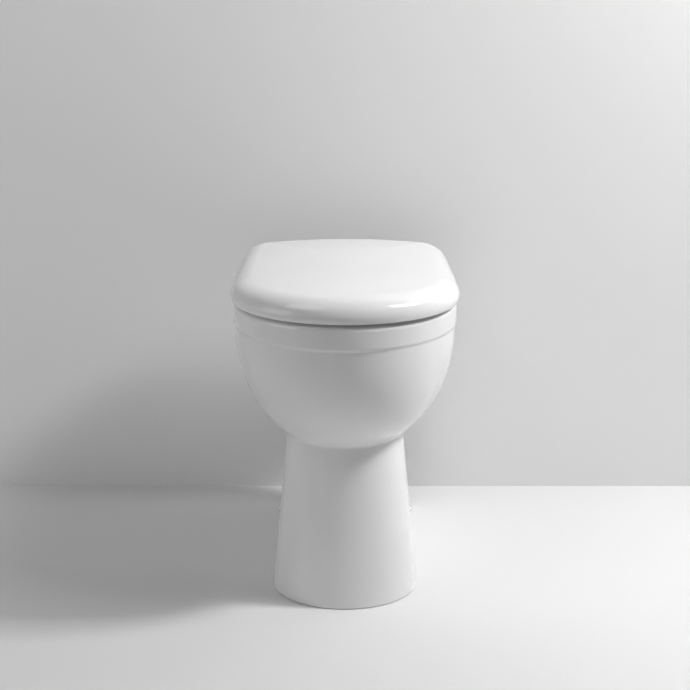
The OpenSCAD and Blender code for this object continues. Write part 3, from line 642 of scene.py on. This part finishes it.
@dataclass
class Pan:
    """The china pan: pedestal, bowl, rim, trapway, spigot and flush inlet, as one smooth casting."""

    rim_height: float = 480.0
    rim_half: float = 175.0
    deck_half: float = 167.0
    nose_depth: float = 187.0
    nose_y: float = -318.0
    band_height: float = 38.0
    band_step: float = 2.4
    rim_round: float = 10.0
    deck_thick: float = 16.0
    bowl_drop: float = 204.0
    bowl_power: float = 2.2
    foot_half: float = 117.5
    foot_front: float = -440.0
    foot_nose: float = 105.0
    neck_half: float = 92.0
    neck_height: float = 266.0
    neck_setback: float = 19.0
    neck_over: float = 14.0  # how far above the neck's height the pedestal's skin runs inside the bowl
    foot_round: float = 3.0
    crease_fillet: float = 7.0
    crease_deg: float = 32.0
    wall: float = 12.0
    opening_half: float = 120.0
    opening_front: float = 130.0
    opening_back: float = 148.0
    opening_round: float = 5.0
    lip_depth: float = 15.0
    undercut: float = 34.0
    sump_radius: float = 46.0
    sump_floor: float = 150.0
    trap_radius: float = 29.0
    trap_wall: float = 9.0
    trap_rise_deg: float = 50.0
    crest_y: float = -168.0
    crest_height: float = 285.0
    crest_bend: float = 40.0
    outlet_bend: float = 52.0
    outlet_height: float = 185.0
    trap_reach: tuple[float, float] = (136.0, 120.0)  # how far its outside and inside run into the sump
    spigot: tuple[float, float, float, float] = (-46.0, 51.0, 40.0, 36.0)  # end y, outer, bore, length
    inlet: tuple[float, float, float, float] = (-62.0, 40.0, 28.0, 45.0)  # mouth y, boss, bore, depth
    inlet_height: float = 408.0
    inlet_wall: float = 22.0  # bowl's opening to the front of the inlet's boss
    boss_root: float = 6.0  # how far the boss runs into the china
    channel: tuple[float, float, float] = (14.0, 90.0, 20.0)  # radius, length, slope in degrees
    channel_start: tuple[float, float] = (4.0, 2.0)  # back from the bore's end, back along the slope
    skirt_share: float = 0.86  # how far down the bowl the wide part of the skirt's space starts
    # the front of the room behind the bowl: steps below the inlet, then steps forward of the boss's front
    room_drops: tuple[float, float] = (55.0, 108.0)
    room_steps: tuple[float, float] = (42.0, 100.0)
    deck_holes: tuple[float, float, float] = (77.5, -104.0, 7.5)  # x, y, radius
    side_hole: tuple[float, float, float] = (-80.0, 25.0, 5.55)  # y, z, radius
    side_hole_span: tuple[float, float] = (91.1, 36.0)  # start x, length
    # the bowl's inside: depth below the lip, then shares of its half width, front reach and back reach
    bowl_rows: list[tuple[float, float, float, float]] = field(default_factory=lambda: [
        (16, 1, 1, 1), (45, 0.99, 0.98, 0.96), (85, 0.96, 0.93, 0.86), (120, 0.88, 0.85, 0.73),
        (150, 0.77, 0.74, 0.6), (180, 0.62, 0.6, 0.44), (205, 0.46, 0.47, 0.3), (232, 0.32, 0.35, 0.2),
        (264, 0.27, 0.29, 0.2)])

    @property
    def boss_front(self) -> float:
        """The y of the front of the flush inlet's boss."""
        return self.nose_y + self.opening_back + self.inlet_wall

    @property
    def step_reach(self) -> float:
        """How far above and below the band's lower edge its step is spread."""
        return 1.5 * self.band_step

    def bowl_share(self, z: np.ndarray | float) -> np.ndarray | float:
        """The share of the bowl's full width at a height below the band, and nought under its pole."""
        fall = np.clip((self.rim_height - self.band_height - z) / self.bowl_drop, 0.0, 1.0)
        return (1 - fall**self.bowl_power) ** (1 / self.bowl_power)

    def nose_reach(self, half: float, front: float, centre: float, turn: np.ndarray) -> np.ndarray:
        """How far a D plan reaches from the rim's nose centre in each direction.

        Args:
            half: The plan's half width.
            front: The depth of its nose ellipse.
            centre: The y of its nose ellipse's centre.
            turn: Directions from the rim's nose centre, in radians.

        Returns:
            The reaches, in millimetres.
        """
        c, s = np.cos(turn), np.sin(turn)
        shift = centre - self.nose_y
        a = (c / half) ** 2 + (s / front) ** 2
        b = -2 * s * shift / front**2
        d = (shift / front) ** 2 - 1
        curve = (-b + np.sqrt(np.maximum(b * b - 4 * a * d, 0))) / (2 * a)
        side = half / np.maximum(np.abs(c), 1e-9)
        return np.where(curve * s > shift, side, curve)

    def skin_row(self, z: float) -> np.ndarray:
        """Draws the outside at a height: the larger of pedestal and bowl, with the crease rounded.

        Args:
            z: The height.

        Returns:
            An array of shape (n, 3), in millimetres from the wall plane.
        """
        turn = np.linspace(math.pi, 2 * math.pi, 161)
        back = np.linspace(0, 1, 49)[1:]
        rise = min(z, self.neck_height + self.neck_over) / self.neck_height
        trim = 0.0
        if z < self.foot_round:
            trim = self.foot_round * (1 - math.sqrt(max(0.0, 1 - (1 - z / self.foot_round) ** 2)))
        half_p = self.foot_half + (self.neck_half - self.foot_half) * rise - trim
        nose_p = self.foot_nose * half_p / self.foot_half
        centre_p = self.neck_setback * rise + self.foot_front + trim + nose_p
        inset = 0.0
        bottom = self.rim_height - self.band_height
        edge = self.rim_height - self.rim_round
        if z > edge:
            up = min((z - edge) / self.rim_round, 1.0)
            inset = self.rim_round * (1 - math.sqrt(max(0.0, 1 - up * up)))
        elif z < bottom + self.step_reach:
            inset = self.band_step * (1 - ease((z - bottom + self.step_reach) / (2 * self.step_reach)))
        share = float(self.bowl_share(z))
        half_b, nose_b = (self.rim_half - inset) * share, (self.nose_depth - inset) * share
        back_b = (self.deck_half - inset) * share
        nose = self.nose_reach(half_p, nose_p, centre_p, turn)
        sides = np.full(len(back), half_p)
        if half_b > 1:
            nose = soft_max(nose, self.nose_reach(half_b, nose_b, self.nose_y, turn), self.crease_fillet)
            sides = soft_max(sides, half_b - (half_b - back_b) * back**SIDE_TAPER, self.crease_fillet)
        if z > self.neck_height + self.neck_over - 1:
            nose = self.nose_reach(half_b, nose_b, self.nose_y, turn)
            sides = half_b - (half_b - back_b) * back**SIDE_TAPER
        x = np.concatenate([nose * np.cos(turn), sides, -sides[::-1]])
        y = np.concatenate([self.nose_y + nose * np.sin(turn), self.nose_y * (1 - back),
                            self.nose_y * (1 - back[::-1])])
        return np.column_stack([x, y, np.full(len(x), z)])

    def outside(self) -> bpy.types.Object:
        """Builds the outside as one closed skin.

        Returns:
            The solid.
        """
        bottom = self.rim_height - self.band_height
        step = self.step_reach
        edge = self.rim_height - self.rim_round
        # the rows lie close together where the bowl grows out of the pedestal, and round each edge
        heights = np.concatenate([
            self.foot_round * (1 - np.cos(np.linspace(0, math.pi / 2, 6))),
            np.linspace(8, 244, 44),
            np.linspace(247, 300, 45),
            np.linspace(304, bottom - step, 34),
            np.linspace(bottom - step, bottom + step, 9)[1:],
            np.linspace(bottom + step, edge, 6)[1:],
            edge + self.rim_round * np.sin(np.linspace(0, math.pi / 2, 11)[1:]),
        ])
        return loft("pan", [self.skin_row(float(z)) for z in heights])

    def bowl_space(self) -> bpy.types.Object:
        """Builds the bowl's inside, from the opening down to the sump.

        Returns:
            The space as a closed solid.
        """
        wide, deep = self.opening_half + self.undercut, self.opening_front + self.undercut
        rear = self.opening_back + self.undercut / 3
        lip = self.rim_height - self.lip_depth
        r, floor = self.sump_radius, self.sump_floor
        control = [(floor, r * 0.55, r * 0.6, r * 1.1), (floor + 14, r * 0.72, r * 0.9, r * 1.35)]
        control += [(lip - d, wide * w, deep * f, rear * b) for d, w, f, b in reversed(self.bowl_rows)]
        rings = [oval(w, f, b, self.nose_y, z) for z, w, f, b in spline(control, 6)]
        half, front, back = self.opening_half, self.opening_front, self.opening_back
        rings.append(oval(wide * 0.97, front + self.undercut * 0.8, back + self.undercut / 4, self.nose_y,
                          lip))
        rings.append(oval(half + 2, front + 2, back + 2, self.nose_y, lip + 1))
        rings.append(oval(half, front, back, self.nose_y, lip + 3))
        mouth = self.opening_round
        for t in np.linspace(0, math.pi / 2, 8):
            grow = mouth * (1 - math.cos(t))
            rings.append(oval(half + grow, front + grow, back + grow, self.nose_y,
                              self.rim_height - mouth * (1 - math.sin(t))))
        over = mouth + 1
        rings.append(oval(half + over, front + over, back + over, self.nose_y, self.rim_height + 1))
        return loft("bowl_space", rings)

    def skirt_plan(self, half: float, nose: float, centre: float, z: float) -> np.ndarray:
        """Draws a plan with a round nose and straight sides that run out past the wall plane.

        Args:
            half: Its half width.
            nose: The depth of its nose ellipse.
            centre: The y of its nose ellipse's centre.
            z: The height that it lies at.

        Returns:
            An array of shape (n, 3), in millimetres from the wall plane.
        """
        turn = np.linspace(math.pi, 2 * math.pi, 61)
        x = np.concatenate([half * np.cos(turn), [half, -half]])
        y = np.concatenate([centre + nose * np.sin(turn), [1.0, 1.0]])
        return np.column_stack([x, y, np.full(len(x), z)])

    def skirt_space(self) -> bpy.types.Object:
        """Builds the space inside the skirt, open to the floor and the wall.

        Returns:
            The space as a closed solid.
        """
        low = []
        bottom = self.rim_height - self.band_height
        meet = max(self.neck_height, bottom - self.skirt_share * self.bowl_drop) + 1
        for z in (-1.0, self.neck_height / 2, meet):
            rise = max(z, 0.0) / self.neck_height
            full = self.foot_half + (self.neck_half - self.foot_half) * rise
            half = full - self.wall
            nose = self.foot_nose * half / (self.foot_half - self.wall)
            centre = self.neck_setback * rise + self.foot_front + self.wall + nose
            low.append(self.skirt_plan(half, nose, centre, z))
        space = loft("skirt_space", low)
        high = []
        for level in np.linspace(self.skirt_share, 0.0, 24):
            z = bottom - self.bowl_drop * level
            half = (self.deck_half - self.band_step) * float(self.bowl_share(z)) - self.wall
            high.append(self.skirt_plan(half, half, self.nose_y / 2 - half, z))
        high.append(high[-1] + np.array([0, 0, self.rim_height - self.deck_thick - bottom]))
        join(space, loft("upper_space", high), Join.ADD)
        front = self.boss_front
        top = self.rim_height - self.bowl_drop - self.band_height + self.wall
        under = self.rim_height - self.deck_thick
        high_drop, low_drop = self.room_drops
        short_step, long_step = self.room_steps
        keep = prism_across("room", [
            (self.foot_front, -2), (2, -2), (2, under + 1), (front, under + 1),
            (front, self.inlet_height - high_drop), (front - short_step, self.inlet_height - low_drop),
            (front - long_step, top), (self.foot_front, top)], self.rim_half)
        join(space, keep, Join.KEEP)
        return space

    def trap(self, name: str, radius: float, reach: float) -> bpy.types.Object:
        """Builds a tube along the trapway.

        Args:
            name: The object's name.
            radius: Its radius up to the crest.
            reach: How far it runs back down into the sump.

        Returns:
            The tube, as a closed solid.
        """
        rise = math.radians(self.trap_rise_deg)
        start = (self.crest_y - self.crest_bend * math.sin(rise),
                 self.crest_height - self.crest_bend * (1 - math.cos(rise)))
        stations = [((start[0] - run * math.cos(rise), start[1] - run * math.sin(rise)), rise, radius)
                    for run in np.linspace(reach, 8, 6)]
        for t in np.linspace(rise, -math.pi / 2, 22):
            stations.append(((self.crest_y - self.crest_bend * math.sin(t),
                              self.crest_height - self.crest_bend * (1 - math.cos(t))), t, radius))
        outlet_y = self.crest_y + self.crest_bend + self.outlet_bend
        widening = self.spigot[2] - self.trap_radius
        for t in np.linspace(-math.pi / 2, 0, 14):
            stations.append(((outlet_y + self.outlet_bend * math.sin(t),
                              self.outlet_height + self.outlet_bend * (1 - math.cos(t))), t,
                             radius + widening * (t + math.pi / 2) / (math.pi / 2)))
        turn = np.linspace(0, 2 * math.pi, 48, endpoint=False)
        rings = [np.column_stack([r * np.cos(turn), y + r * np.sin(turn) * math.sin(h),
                                  z - r * np.sin(turn) * math.cos(h)])
                 for (y, z), h, r in stations]
        return loft(name, rings)

    def sump_shell(self) -> bpy.types.Object:
        """Builds the sump's outside, under the bowl.

        Returns:
            The solid.
        """
        r, w, floor = self.sump_radius, self.wall, self.sump_floor
        pole = self.rim_height - self.band_height - self.bowl_drop
        control = [(floor - w, r * 0.6, r * 0.65, r * 1.2), (floor + 6, r + 2, r * 1.2, r * 1.6),
                   (floor + 50, r + w, r + w + 4, r + w),
                   (pole + 2 * w, r * 1.25 + w, r * 1.3 + 1.5 * w, r + w)]
        return loft("sump_shell", [oval(a, b, c, self.nose_y, z, 96) for z, a, b, c in spline(control, 6)])

    def add_pipes(self, pan: bpy.types.Object) -> None:
        """Adds the waste spigot, the flush inlet and the channel that leads the flush into the bowl.

        Args:
            pan: The casting.
        """
        back = (0, -1, 0)
        end, outer, bore, length = self.spigot
        high = self.outlet_height
        join(pan, cylinder("spigot", (0, end, high), back, outer, length, 96), Join.ADD)
        join(pan, cylinder("spigot_bore", (0, end + 1, high), back, bore, length + 2, 96), Join.CUT)
        mouth, boss, bore, depth = self.inlet
        high = self.inlet_height
        length = mouth - self.boss_front + self.boss_root
        join(pan, cylinder("boss", (0, mouth, high), back, boss, length, 96), Join.ADD)
        join(pan, cylinder("inlet", (0, mouth + 1, high), back, bore, depth + 1, 96), Join.CUT)
        radius, run, slope_deg = self.channel
        overlap, run_in = self.channel_start
        c, s = math.cos(math.radians(slope_deg)), math.sin(math.radians(slope_deg))
        start = (0, mouth - depth + overlap + run_in * c, high - run_in * s)
        join(pan, cylinder("channel", start, (0, -c, s), radius, run, 48), Join.CUT)

    def drill(self, pan: bpy.types.Object) -> None:
        """Drills the seat's holes in the deck and the screws' holes in the skirt.

        Args:
            pan: The casting.
        """
        hole_x, hole_y, hole_r = self.deck_holes
        side_y, side_z, side_r = self.side_hole
        side_x, side_length = self.side_hole_span
        under = self.rim_height - self.deck_thick - 1
        for side in (-1, 1):
            join(pan, cylinder("deck_hole", (side * hole_x, hole_y, under), (0, 0, 1), hole_r,
                               self.deck_thick + 2, 48), Join.CUT)
            join(pan, cylinder("side_hole", (side * side_x, side_y, side_z), (side, 0, 0), side_r,
                               side_length, 48), Join.CUT)

    def build(self, palette: Palette) -> bpy.types.Object:
        """Builds and dresses the pan.

        Args:
            palette: The finishes.

        Returns:
            The finished piece.
        """
        pan = self.outside()
        reach_outside, reach_inside = self.trap_reach
        join(pan, self.skirt_space(), Join.CUT)
        join(pan, self.sump_shell(), Join.ADD)
        join(pan, self.trap("trap_outside", self.trap_radius + self.trap_wall, reach_outside), Join.ADD)
        join(pan, self.bowl_space(), Join.CUT)
        join(pan, self.trap("trap_inside", self.trap_radius, reach_inside), Join.CUT)
        self.add_pipes(pan)
        self.drill(pan)
        pan.name = "china_pan"
        smooth(pan, self.crease_deg)
        palette.dress(pan, Finish.CHINA)
        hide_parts("pan")
        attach(pan, "pan_body")
        return pan


# ---- seat ---------------------------------------------------------------


@dataclass
class Hinge:
    """Where the two seat hinges are, and the sizes that the lid and ring share with them."""

    x: float = 77.5
    y: float = -80.0
    z: float = 506.0
    barrel_radius: float = 9.0
    barrel_length: float = 30.0
    knuckle_radius: float = 8.0
    knuckle_length: float = 12.0
    gap: float = 0.5
    pin_radius: float = 3.0
    pin_clearance: float = 0.08
    head_radius: float = 9.5

    @property
    def pin_hole(self) -> float:
        """The radius of a knuckle's hole for its pin."""
        return self.pin_radius + self.pin_clearance

    def knuckle(self, side: int, outer: bool) -> tuple[float, float]:
        """The x of a knuckle's start and its direction, from the barrel outwards or inwards."""
        away = side if outer else -side
        return side * self.x + away * (self.barrel_length / 2 + self.gap), away


@dataclass
class Lid:
    """The wrap-over lid: a crowned shell with a soft roll all round."""

    half: float = 178.0
    nose_y: float = -337.0
    depth: float = 507.0
    back_half: float = 172.0
    back_y: float = -60.0
    corner: float = 46.0
    bow: float = 12.5
    bottom: float = 482.5
    height: float = 40.5
    shell: float = 3.6
    tuck: float = 1.5
    widest_share: float = 0.2
    roll: float = 36.0
    roll_back: float = 14.0
    crown: float = 6.0
    crown_rise: float = 3.0
    crown_reach: float = 120.0
    seam_reach: float = 133.0  # where the skin closes on the middle line
    barrel_room: tuple[float, float] = (1.2, 0.6)  # clearance at the barrel's ends and round it
    arm_room: tuple[float, float, float] = (1.5, 39.5, 7.0)  # beside the post's head, below and above it
    web_root: float = 2.0
    web_top: float = 516.8
    pillar_x: float = 117.48
    pillar_ys: tuple[float, float] = (-381.6, -209.9)
    pillar_foot: float = 510.0
    pillar_radius: float = 9.0
    crease_deg: float = 34.0
    hinge: Hinge = field(default_factory=Hinge)

    def ring(self, inset: float, back_inset: float, z: float) -> np.ndarray:
        """Draws one outline of the lid's skin, dropped at the sides by the crown.

        Args:
            inset: How far it lies inside the lid's sides and front.
            back_inset: How far it lies inside the lid's back.
            z: The height of its middle.

        Returns:
            An array of shape (n, 3), in millimetres from the wall plane.
        """
        back_half = max(self.back_half - inset, 0.5)
        plan = DPlan(max(self.half - inset, 0.6), max(self.nose_y + self.depth - inset, 0.6), self.nose_y,
                     back_half, self.back_y - back_inset, min(max(self.corner - inset, 4.0), back_half * 0.9),
                     self.bow)
        out = plan.outline(z)
        share = max(0.0, (z - self.bottom) / self.height)
        out[:, 2] -= self.crown * share * (out[:, 0] / self.half) ** 2
        return out

    def skin(self, thick: float, low: float) -> list[np.ndarray]:
        """The rings of a skin from its lower edge to its middle.

        Args:
            thick: How far the skin lies inside the outer one.
            low: How far below the lower edge it starts.

        Returns:
            The rings.
        """
        top = self.bottom + self.height
        widest = self.bottom + self.widest_share * self.height
        rise = top - self.crown_rise - widest - thick
        rings = []
        for t in np.linspace(0, 1, 8)[:-1]:
            tuck = self.tuck * (1 - t) ** 2 + thick
            rings.append(self.ring(tuck, tuck, self.bottom - low + (widest - self.bottom + low) * t))
        for t in np.linspace(0, math.pi / 2, 26):
            rings.append(self.ring(thick + (self.roll - thick) * (1 - math.cos(t)),
                                   thick + (self.roll_back - thick / 2) * (1 - math.cos(t)),
                                   widest + rise * math.sin(t)))
        reaches = np.concatenate([np.linspace(3, self.crown_reach, 22),
                                  np.linspace(self.crown_reach + 4, self.seam_reach, 4)])
        for d in reaches:
            rings.append(self.ring(self.roll + d, self.roll_back + thick / 2 + d,
                                   top - thick - self.crown_rise * max(0.0, 1 - d / self.crown_reach) ** 2))
        return rings

    def build(self, palette: Palette) -> bpy.types.Object:
        """Builds and dresses the lid.

        Args:
            palette: The finishes.

        Returns:
            The finished piece.
        """
        h = self.hinge
        lid = loft("lid", self.skin(0, 0))
        join(lid, loft("lid_inside", self.skin(self.shell, 1)), Join.CUT)
        join(lid, prism_across("back_cut", [
            (h.y - 10, self.bottom - 2), (0, self.bottom - 2), (0, h.z - 6), (h.y + 4, h.z - 6)], self.half),
             Join.CUT)
        beyond, around = self.barrel_room
        beside, below, above = self.arm_room
        notch = h.head_radius + beside
        underside = (self.bottom + self.height - self.shell - self.crown_rise
                     - self.crown * (self.pillar_x / self.half) ** 2)
        pillar_length = underside - self.pillar_foot + self.shell / 2
        for side in (-1, 1):
            join(lid, cylinder("barrel_room", (side * h.x - h.barrel_length / 2 - beyond, h.y, h.z),
                               (1, 0, 0), h.barrel_radius + around, h.barrel_length + 2 * beyond, 96),
                 Join.CUT)
            join(lid, block("arm_room", (side * h.x - notch, h.y, h.z - below),
                            (side * h.x + notch, 0, h.z + above)), Join.CUT)
            start, away = h.knuckle(side, True)
            join(lid, cylinder("knuckle", (start, h.y, h.z), (away, 0, 0), h.knuckle_radius,
                               h.knuckle_length, 96), Join.ADD)
            low_x, high_x = sorted((start, start + away * h.knuckle_length))
            join(lid, block("web", (low_x, h.y - h.knuckle_radius - self.web_root, h.z),
                            (high_x, h.y, self.web_top)), Join.ADD)
            for y in self.pillar_ys:
                join(lid, cylinder("pillar", (side * self.pillar_x, y, self.pillar_foot), (0, 0, 1),
                                   self.pillar_radius, pillar_length, 64), Join.ADD)
            join(lid, cylinder("pin_hole", (start - away, h.y, h.z), (away, 0, 0), h.pin_hole,
                               h.knuckle_length + 2, 64), Join.CUT)
        lid.name = "moulded_lid"
        smooth(lid, self.crease_deg)
        palette.dress(lid, Finish.DUROPLAST)
        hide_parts("lid")
        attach(lid, "lid_body")
        return lid


@dataclass
class SeatRing:
    """The seat ring: a flat D with a rounded hole, hung on two arms."""

    lid: Lid = field(default_factory=Lid)
    inset: float = 9.3
    bottom: float = 484.5
    thick: float = 21.0
    back_y: float = -116.0
    hole_half: float = 108.0
    hole_front: float = 429.7
    hole_length: float = 272.0
    hole_y: float = -318.0
    edge: float = 7.0
    under: float = 3.0
    arm_root: float = 12.0
    arm_drop: float = 1.5
    hinge: Hinge = field(default_factory=Hinge)

    def outer(self, inset: float, z: float) -> np.ndarray:
        """Draws the ring's outer outline.

        Args:
            inset: How far it lies inside the ring's edge.
            z: The height that it lies at.

        Returns:
            An array of shape (n, 3), in millimetres from the wall plane.
        """
        lid = self.lid
        away = self.inset + inset
        plan = DPlan(lid.half - away, lid.nose_y + lid.depth - away, lid.nose_y, lid.back_half - away,
                     self.back_y - inset, lid.corner - inset, lid.bow / 2)
        return plan.outline(z)

    def inner(self, grow: float, z: float) -> np.ndarray:
        """The hole's outline at a height."""
        front = self.hole_front + self.hole_y
        return oval(self.hole_half + grow, front + grow, self.hole_length - front + grow, self.hole_y, z, 192)

    def build(self, palette: Palette) -> bpy.types.Object:
        """Builds and dresses the ring.

        Args:
            palette: The finishes.

        Returns:
            The finished piece.
        """
        h, top = self.hinge, self.bottom + self.thick
        quarter = np.linspace(0, math.pi / 2, 10)
        body = [self.outer(self.under * (1 - math.sin(t)), self.bottom + self.under * (1 - math.cos(t)))
                for t in quarter]
        body += [self.outer(self.edge * (1 - math.cos(t)), top - self.edge * (1 - math.sin(t)))
                 for t in quarter]
        ring = loft("ring", body)
        hole = [self.inner(self.under + 1, self.bottom - 1)]
        hole += [self.inner(self.under * (1 - math.sin(t)), self.bottom + self.under * (1 - math.cos(t)))
                 for t in quarter]
        hole += [self.inner(self.edge * (1 - math.cos(t)), top - self.edge * (1 - math.sin(t)))
                 for t in quarter]
        hole.append(self.inner(self.edge + 1, top + 1))
        join(ring, loft("hole", hole), Join.CUT)
        for side in (-1, 1):
            start, away = h.knuckle(side, False)
            low_x, high_x = sorted((start, start + away * h.knuckle_length))
            join(ring, block("arm", (low_x, self.back_y - self.arm_root, h.z - h.knuckle_radius),
                             (high_x, h.y, h.z - self.arm_drop)), Join.ADD)
            join(ring, cylinder("knuckle", (start, h.y, h.z), (away, 0, 0), h.knuckle_radius,
                                h.knuckle_length, 96), Join.ADD)
            join(ring, cylinder("pin_hole", (start - away, h.y, h.z), (away, 0, 0), h.pin_hole,
                                h.knuckle_length + 2, 64), Join.CUT)
        ring.name = "moulded_seat_ring"
        smooth(ring, self.lid.crease_deg)
        palette.dress(ring, Finish.DUROPLAST)
        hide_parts("seat_ring")
        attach(ring, "ring_body")
        return ring


# ---- hardware -----------------------------------------------------------


@dataclass
class Hardware:
    """The small pieces that keep their CAD shapes and get real finishes."""

    stood_for: tuple[str, ...] = ("pan", "lid", "seat_ring")

    def dress(self, frame: dict, palette: Palette) -> None:
        """Finishes every CAD node that no new piece stands for.

        Args:
            palette: The finishes.
        """
        slots = {row["node"]: row["material_slot"] for row in frame["record"]["subparts"]}
        for node, obj in sorted(frame["nodes"].items()):
            if node in self.stood_for:
                continue
            palette.dress(obj, Finish(slots[node]))
            log.info("dressed %s as %s", node, slots[node])


# ---- studio -------------------------------------------------------------


@dataclass
class Studio:
    """A pale floor that ends at a pale wall, soft light from the right, and the photograph's camera."""

    frame_px: int = 690
    sensor_mm: float = 36.0
    focal_px: float = 1500.0
    tilt_deg: float = 15.78
    eye_height: float = 1.04575
    eye_distance: float = 2.60364
    wall_gap: float = 0.0993  # the model's back plane to the wall
    half_width: float = 3.0
    floor_reach: float = 4.0  # to the front and to the back
    wall_height: float = 2.2
    floor_colour: str = "#e4e4e4"
    wall_colour: str = "#f2f2f2"
    matt_roughness: float = 0.75
    matt_specular: float = 0.25
    sky_light: float = 0.02  # what the sky gives to matt surfaces
    sky_seen: float = 0.75  # what the camera and mirrors see of it
    fade_from: float = 1.3  # the floor turns into sky between these distances
    fade_to: float = 2.8

    def camera(self) -> None:
        """Sets up the camera."""
        data = bpy.data.cameras.new("camera")
        data.sensor_width = self.sensor_mm
        data.lens = self.sensor_mm * self.focal_px / self.frame_px
        cam = bpy.data.objects.new("camera", data)
        cam.location = (0, Space.DEPTH / 2000 - self.eye_distance, self.eye_height)
        cam.rotation_euler = (math.radians(90 - self.tilt_deg), 0, 0)
        bpy.context.scene.collection.objects.link(cam)
        bpy.context.scene.camera = cam

    def surface(self, name: str, outline: Iterable[Sequence[float]], colour: str, one_sided: bool) -> None:
        """Lays a plain matt surface.

        Args:
            name: Its name.
            outline: Its four corners, in metres.
            colour: Its sRGB hex colour.
            one_sided: True makes it clear from behind, so that the back can be looked at. Otherwise it
                fades into the pale sky far away from the object.
        """
        mesh = bpy.data.meshes.new(name)
        mesh.from_pydata([tuple(c) for c in outline], [], [(0, 1, 2, 3)])
        obj = bpy.data.objects.new(name, mesh)
        bpy.context.scene.collection.objects.link(obj)
        material, tree, shader, place = start_material(f"matt_{name}")
        shader.inputs["Roughness"].default_value = self.matt_roughness
        shader.inputs["Specular IOR Level"].default_value = self.matt_specular
        shader.inputs["Base Color"].default_value = linear(colour)
        if one_sided:
            share = add(tree, "ShaderNodeNewGeometry").outputs["Backfacing"]
            other = add(tree, "ShaderNodeBsdfTransparent")
        else:
            reach = add(tree, "ShaderNodeVectorMath", {"operation": "LENGTH"}, {0: place.outputs["Object"]})
            far = add(tree, "ShaderNodeMapRange", {"From Min": self.fade_from, "From Max": self.fade_to},
                      {"Value": reach.outputs["Value"]})
            path = add(tree, "ShaderNodeLightPath")
            share = add(tree, "ShaderNodeMath", {"operation": "MULTIPLY"},
                        {0: far.outputs[0], 1: path.outputs["Is Camera Ray"]}).outputs[0]
            other = add(tree, "ShaderNodeEmission", {"Strength": self.sky_seen})
        mix = add(tree, "ShaderNodeMixShader", links={0: share, 1: shader.outputs[0], 2: other.outputs[0]})
        out = next(n for n in tree.nodes if n.type == "OUTPUT_MATERIAL")
        tree.links.new(mix.outputs[0], out.inputs["Surface"])
        mesh.materials.append(material)

    def lamp(self, name: str, place: Sequence[float], aim: Sequence[float], size: tuple[float, float],
             watts: float) -> None:
        """Hangs a softbox.

        Args:
            name: Its name.
            place: Where it hangs, in metres.
            aim: The point that it faces.
            size: Its width and height, in metres.
            watts: Its power.
        """
        data = bpy.data.lights.new(name, "AREA")
        data.shape = "RECTANGLE"
        data.size, data.size_y = size
        data.energy = watts
        obj = bpy.data.objects.new(name, data)
        obj.location = place
        obj.rotation_euler = (Vector(aim) - Vector(place)).to_track_quat("-Z", "Y").to_euler()
        bpy.context.scene.collection.objects.link(obj)

    def light(self) -> None:
        """Hangs the lamps and sets the world."""
        self.lamp("key", (1.6, -0.24, 2.02), (0, -0.05, 0.36), (0.34, 0.34), 36.5)
        self.lamp("left_fill", (-2.35, -1.1, 0.92), (0, 0, 0.3), (1.5, 1.5), 9.2)
        self.lamp("right_wash", (1.5, -0.6, 2.3), (0.9, 0.35, 1.6), (0.6, 0.6), 13.5)
        self.lamp("left_wash", (-1.2, -0.9, 2.4), (-0.2, 0.35, 1.0), (1.2, 1.2), 7.4)
        world = bpy.data.worlds.new("soft_sky")
        world.use_nodes = True
        tree = world.node_tree
        tree.nodes.clear()
        path = add(tree, "ShaderNodeLightPath")
        seen = add(tree, "ShaderNodeMath", {"operation": "MAXIMUM"},
                   {0: path.outputs["Is Camera Ray"], 1: path.outputs["Is Glossy Ray"]})
        seen = add(tree, "ShaderNodeMath", {"operation": "MAXIMUM"},
                   {0: seen.outputs[0], 1: path.outputs["Is Transmission Ray"]})
        strength = add(tree, "ShaderNodeMapRange", {"To Min": self.sky_light, "To Max": self.sky_seen},
                       {"Value": seen.outputs[0]})
        sky = add(tree, "ShaderNodeBackground", {"Color": linear("#ffffff")},
                  {"Strength": strength.outputs[0]})
        add(tree, "ShaderNodeOutputWorld", links={"Surface": sky.outputs[0]})
        bpy.context.scene.world = world

    def build(self) -> None:
        """Builds the whole studio."""
        back = Space.DEPTH / 2000 + self.wall_gap
        x, y, z = self.half_width, self.floor_reach, self.wall_height
        floor = [(-x, -y, 0), (x, -y, 0), (x, y, 0), (-x, y, 0)]
        wall = [(-x, back, 0), (x, back, 0), (x, back, z), (-x, back, z)]
        self.surface("floor", floor, self.floor_colour, False)
        self.surface("wall", wall, self.wall_colour, True)
        self.light()
        self.camera()
        bpy.context.scene.view_settings.view_transform = "Standard"


def main() -> None:
    logging.basicConfig(level=logging.INFO, format="%(name)s: %(message)s")
    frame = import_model()
    palette = Palette()
    for part in (Pan(), Lid(), SeatRing()):
        piece = part.build(palette)
        log.info("built %s with %d faces", piece.name, len(piece.data.polygons))
    Hardware().dress(frame, palette)
    Studio().build()


if __name__ == "__main__":
    main()
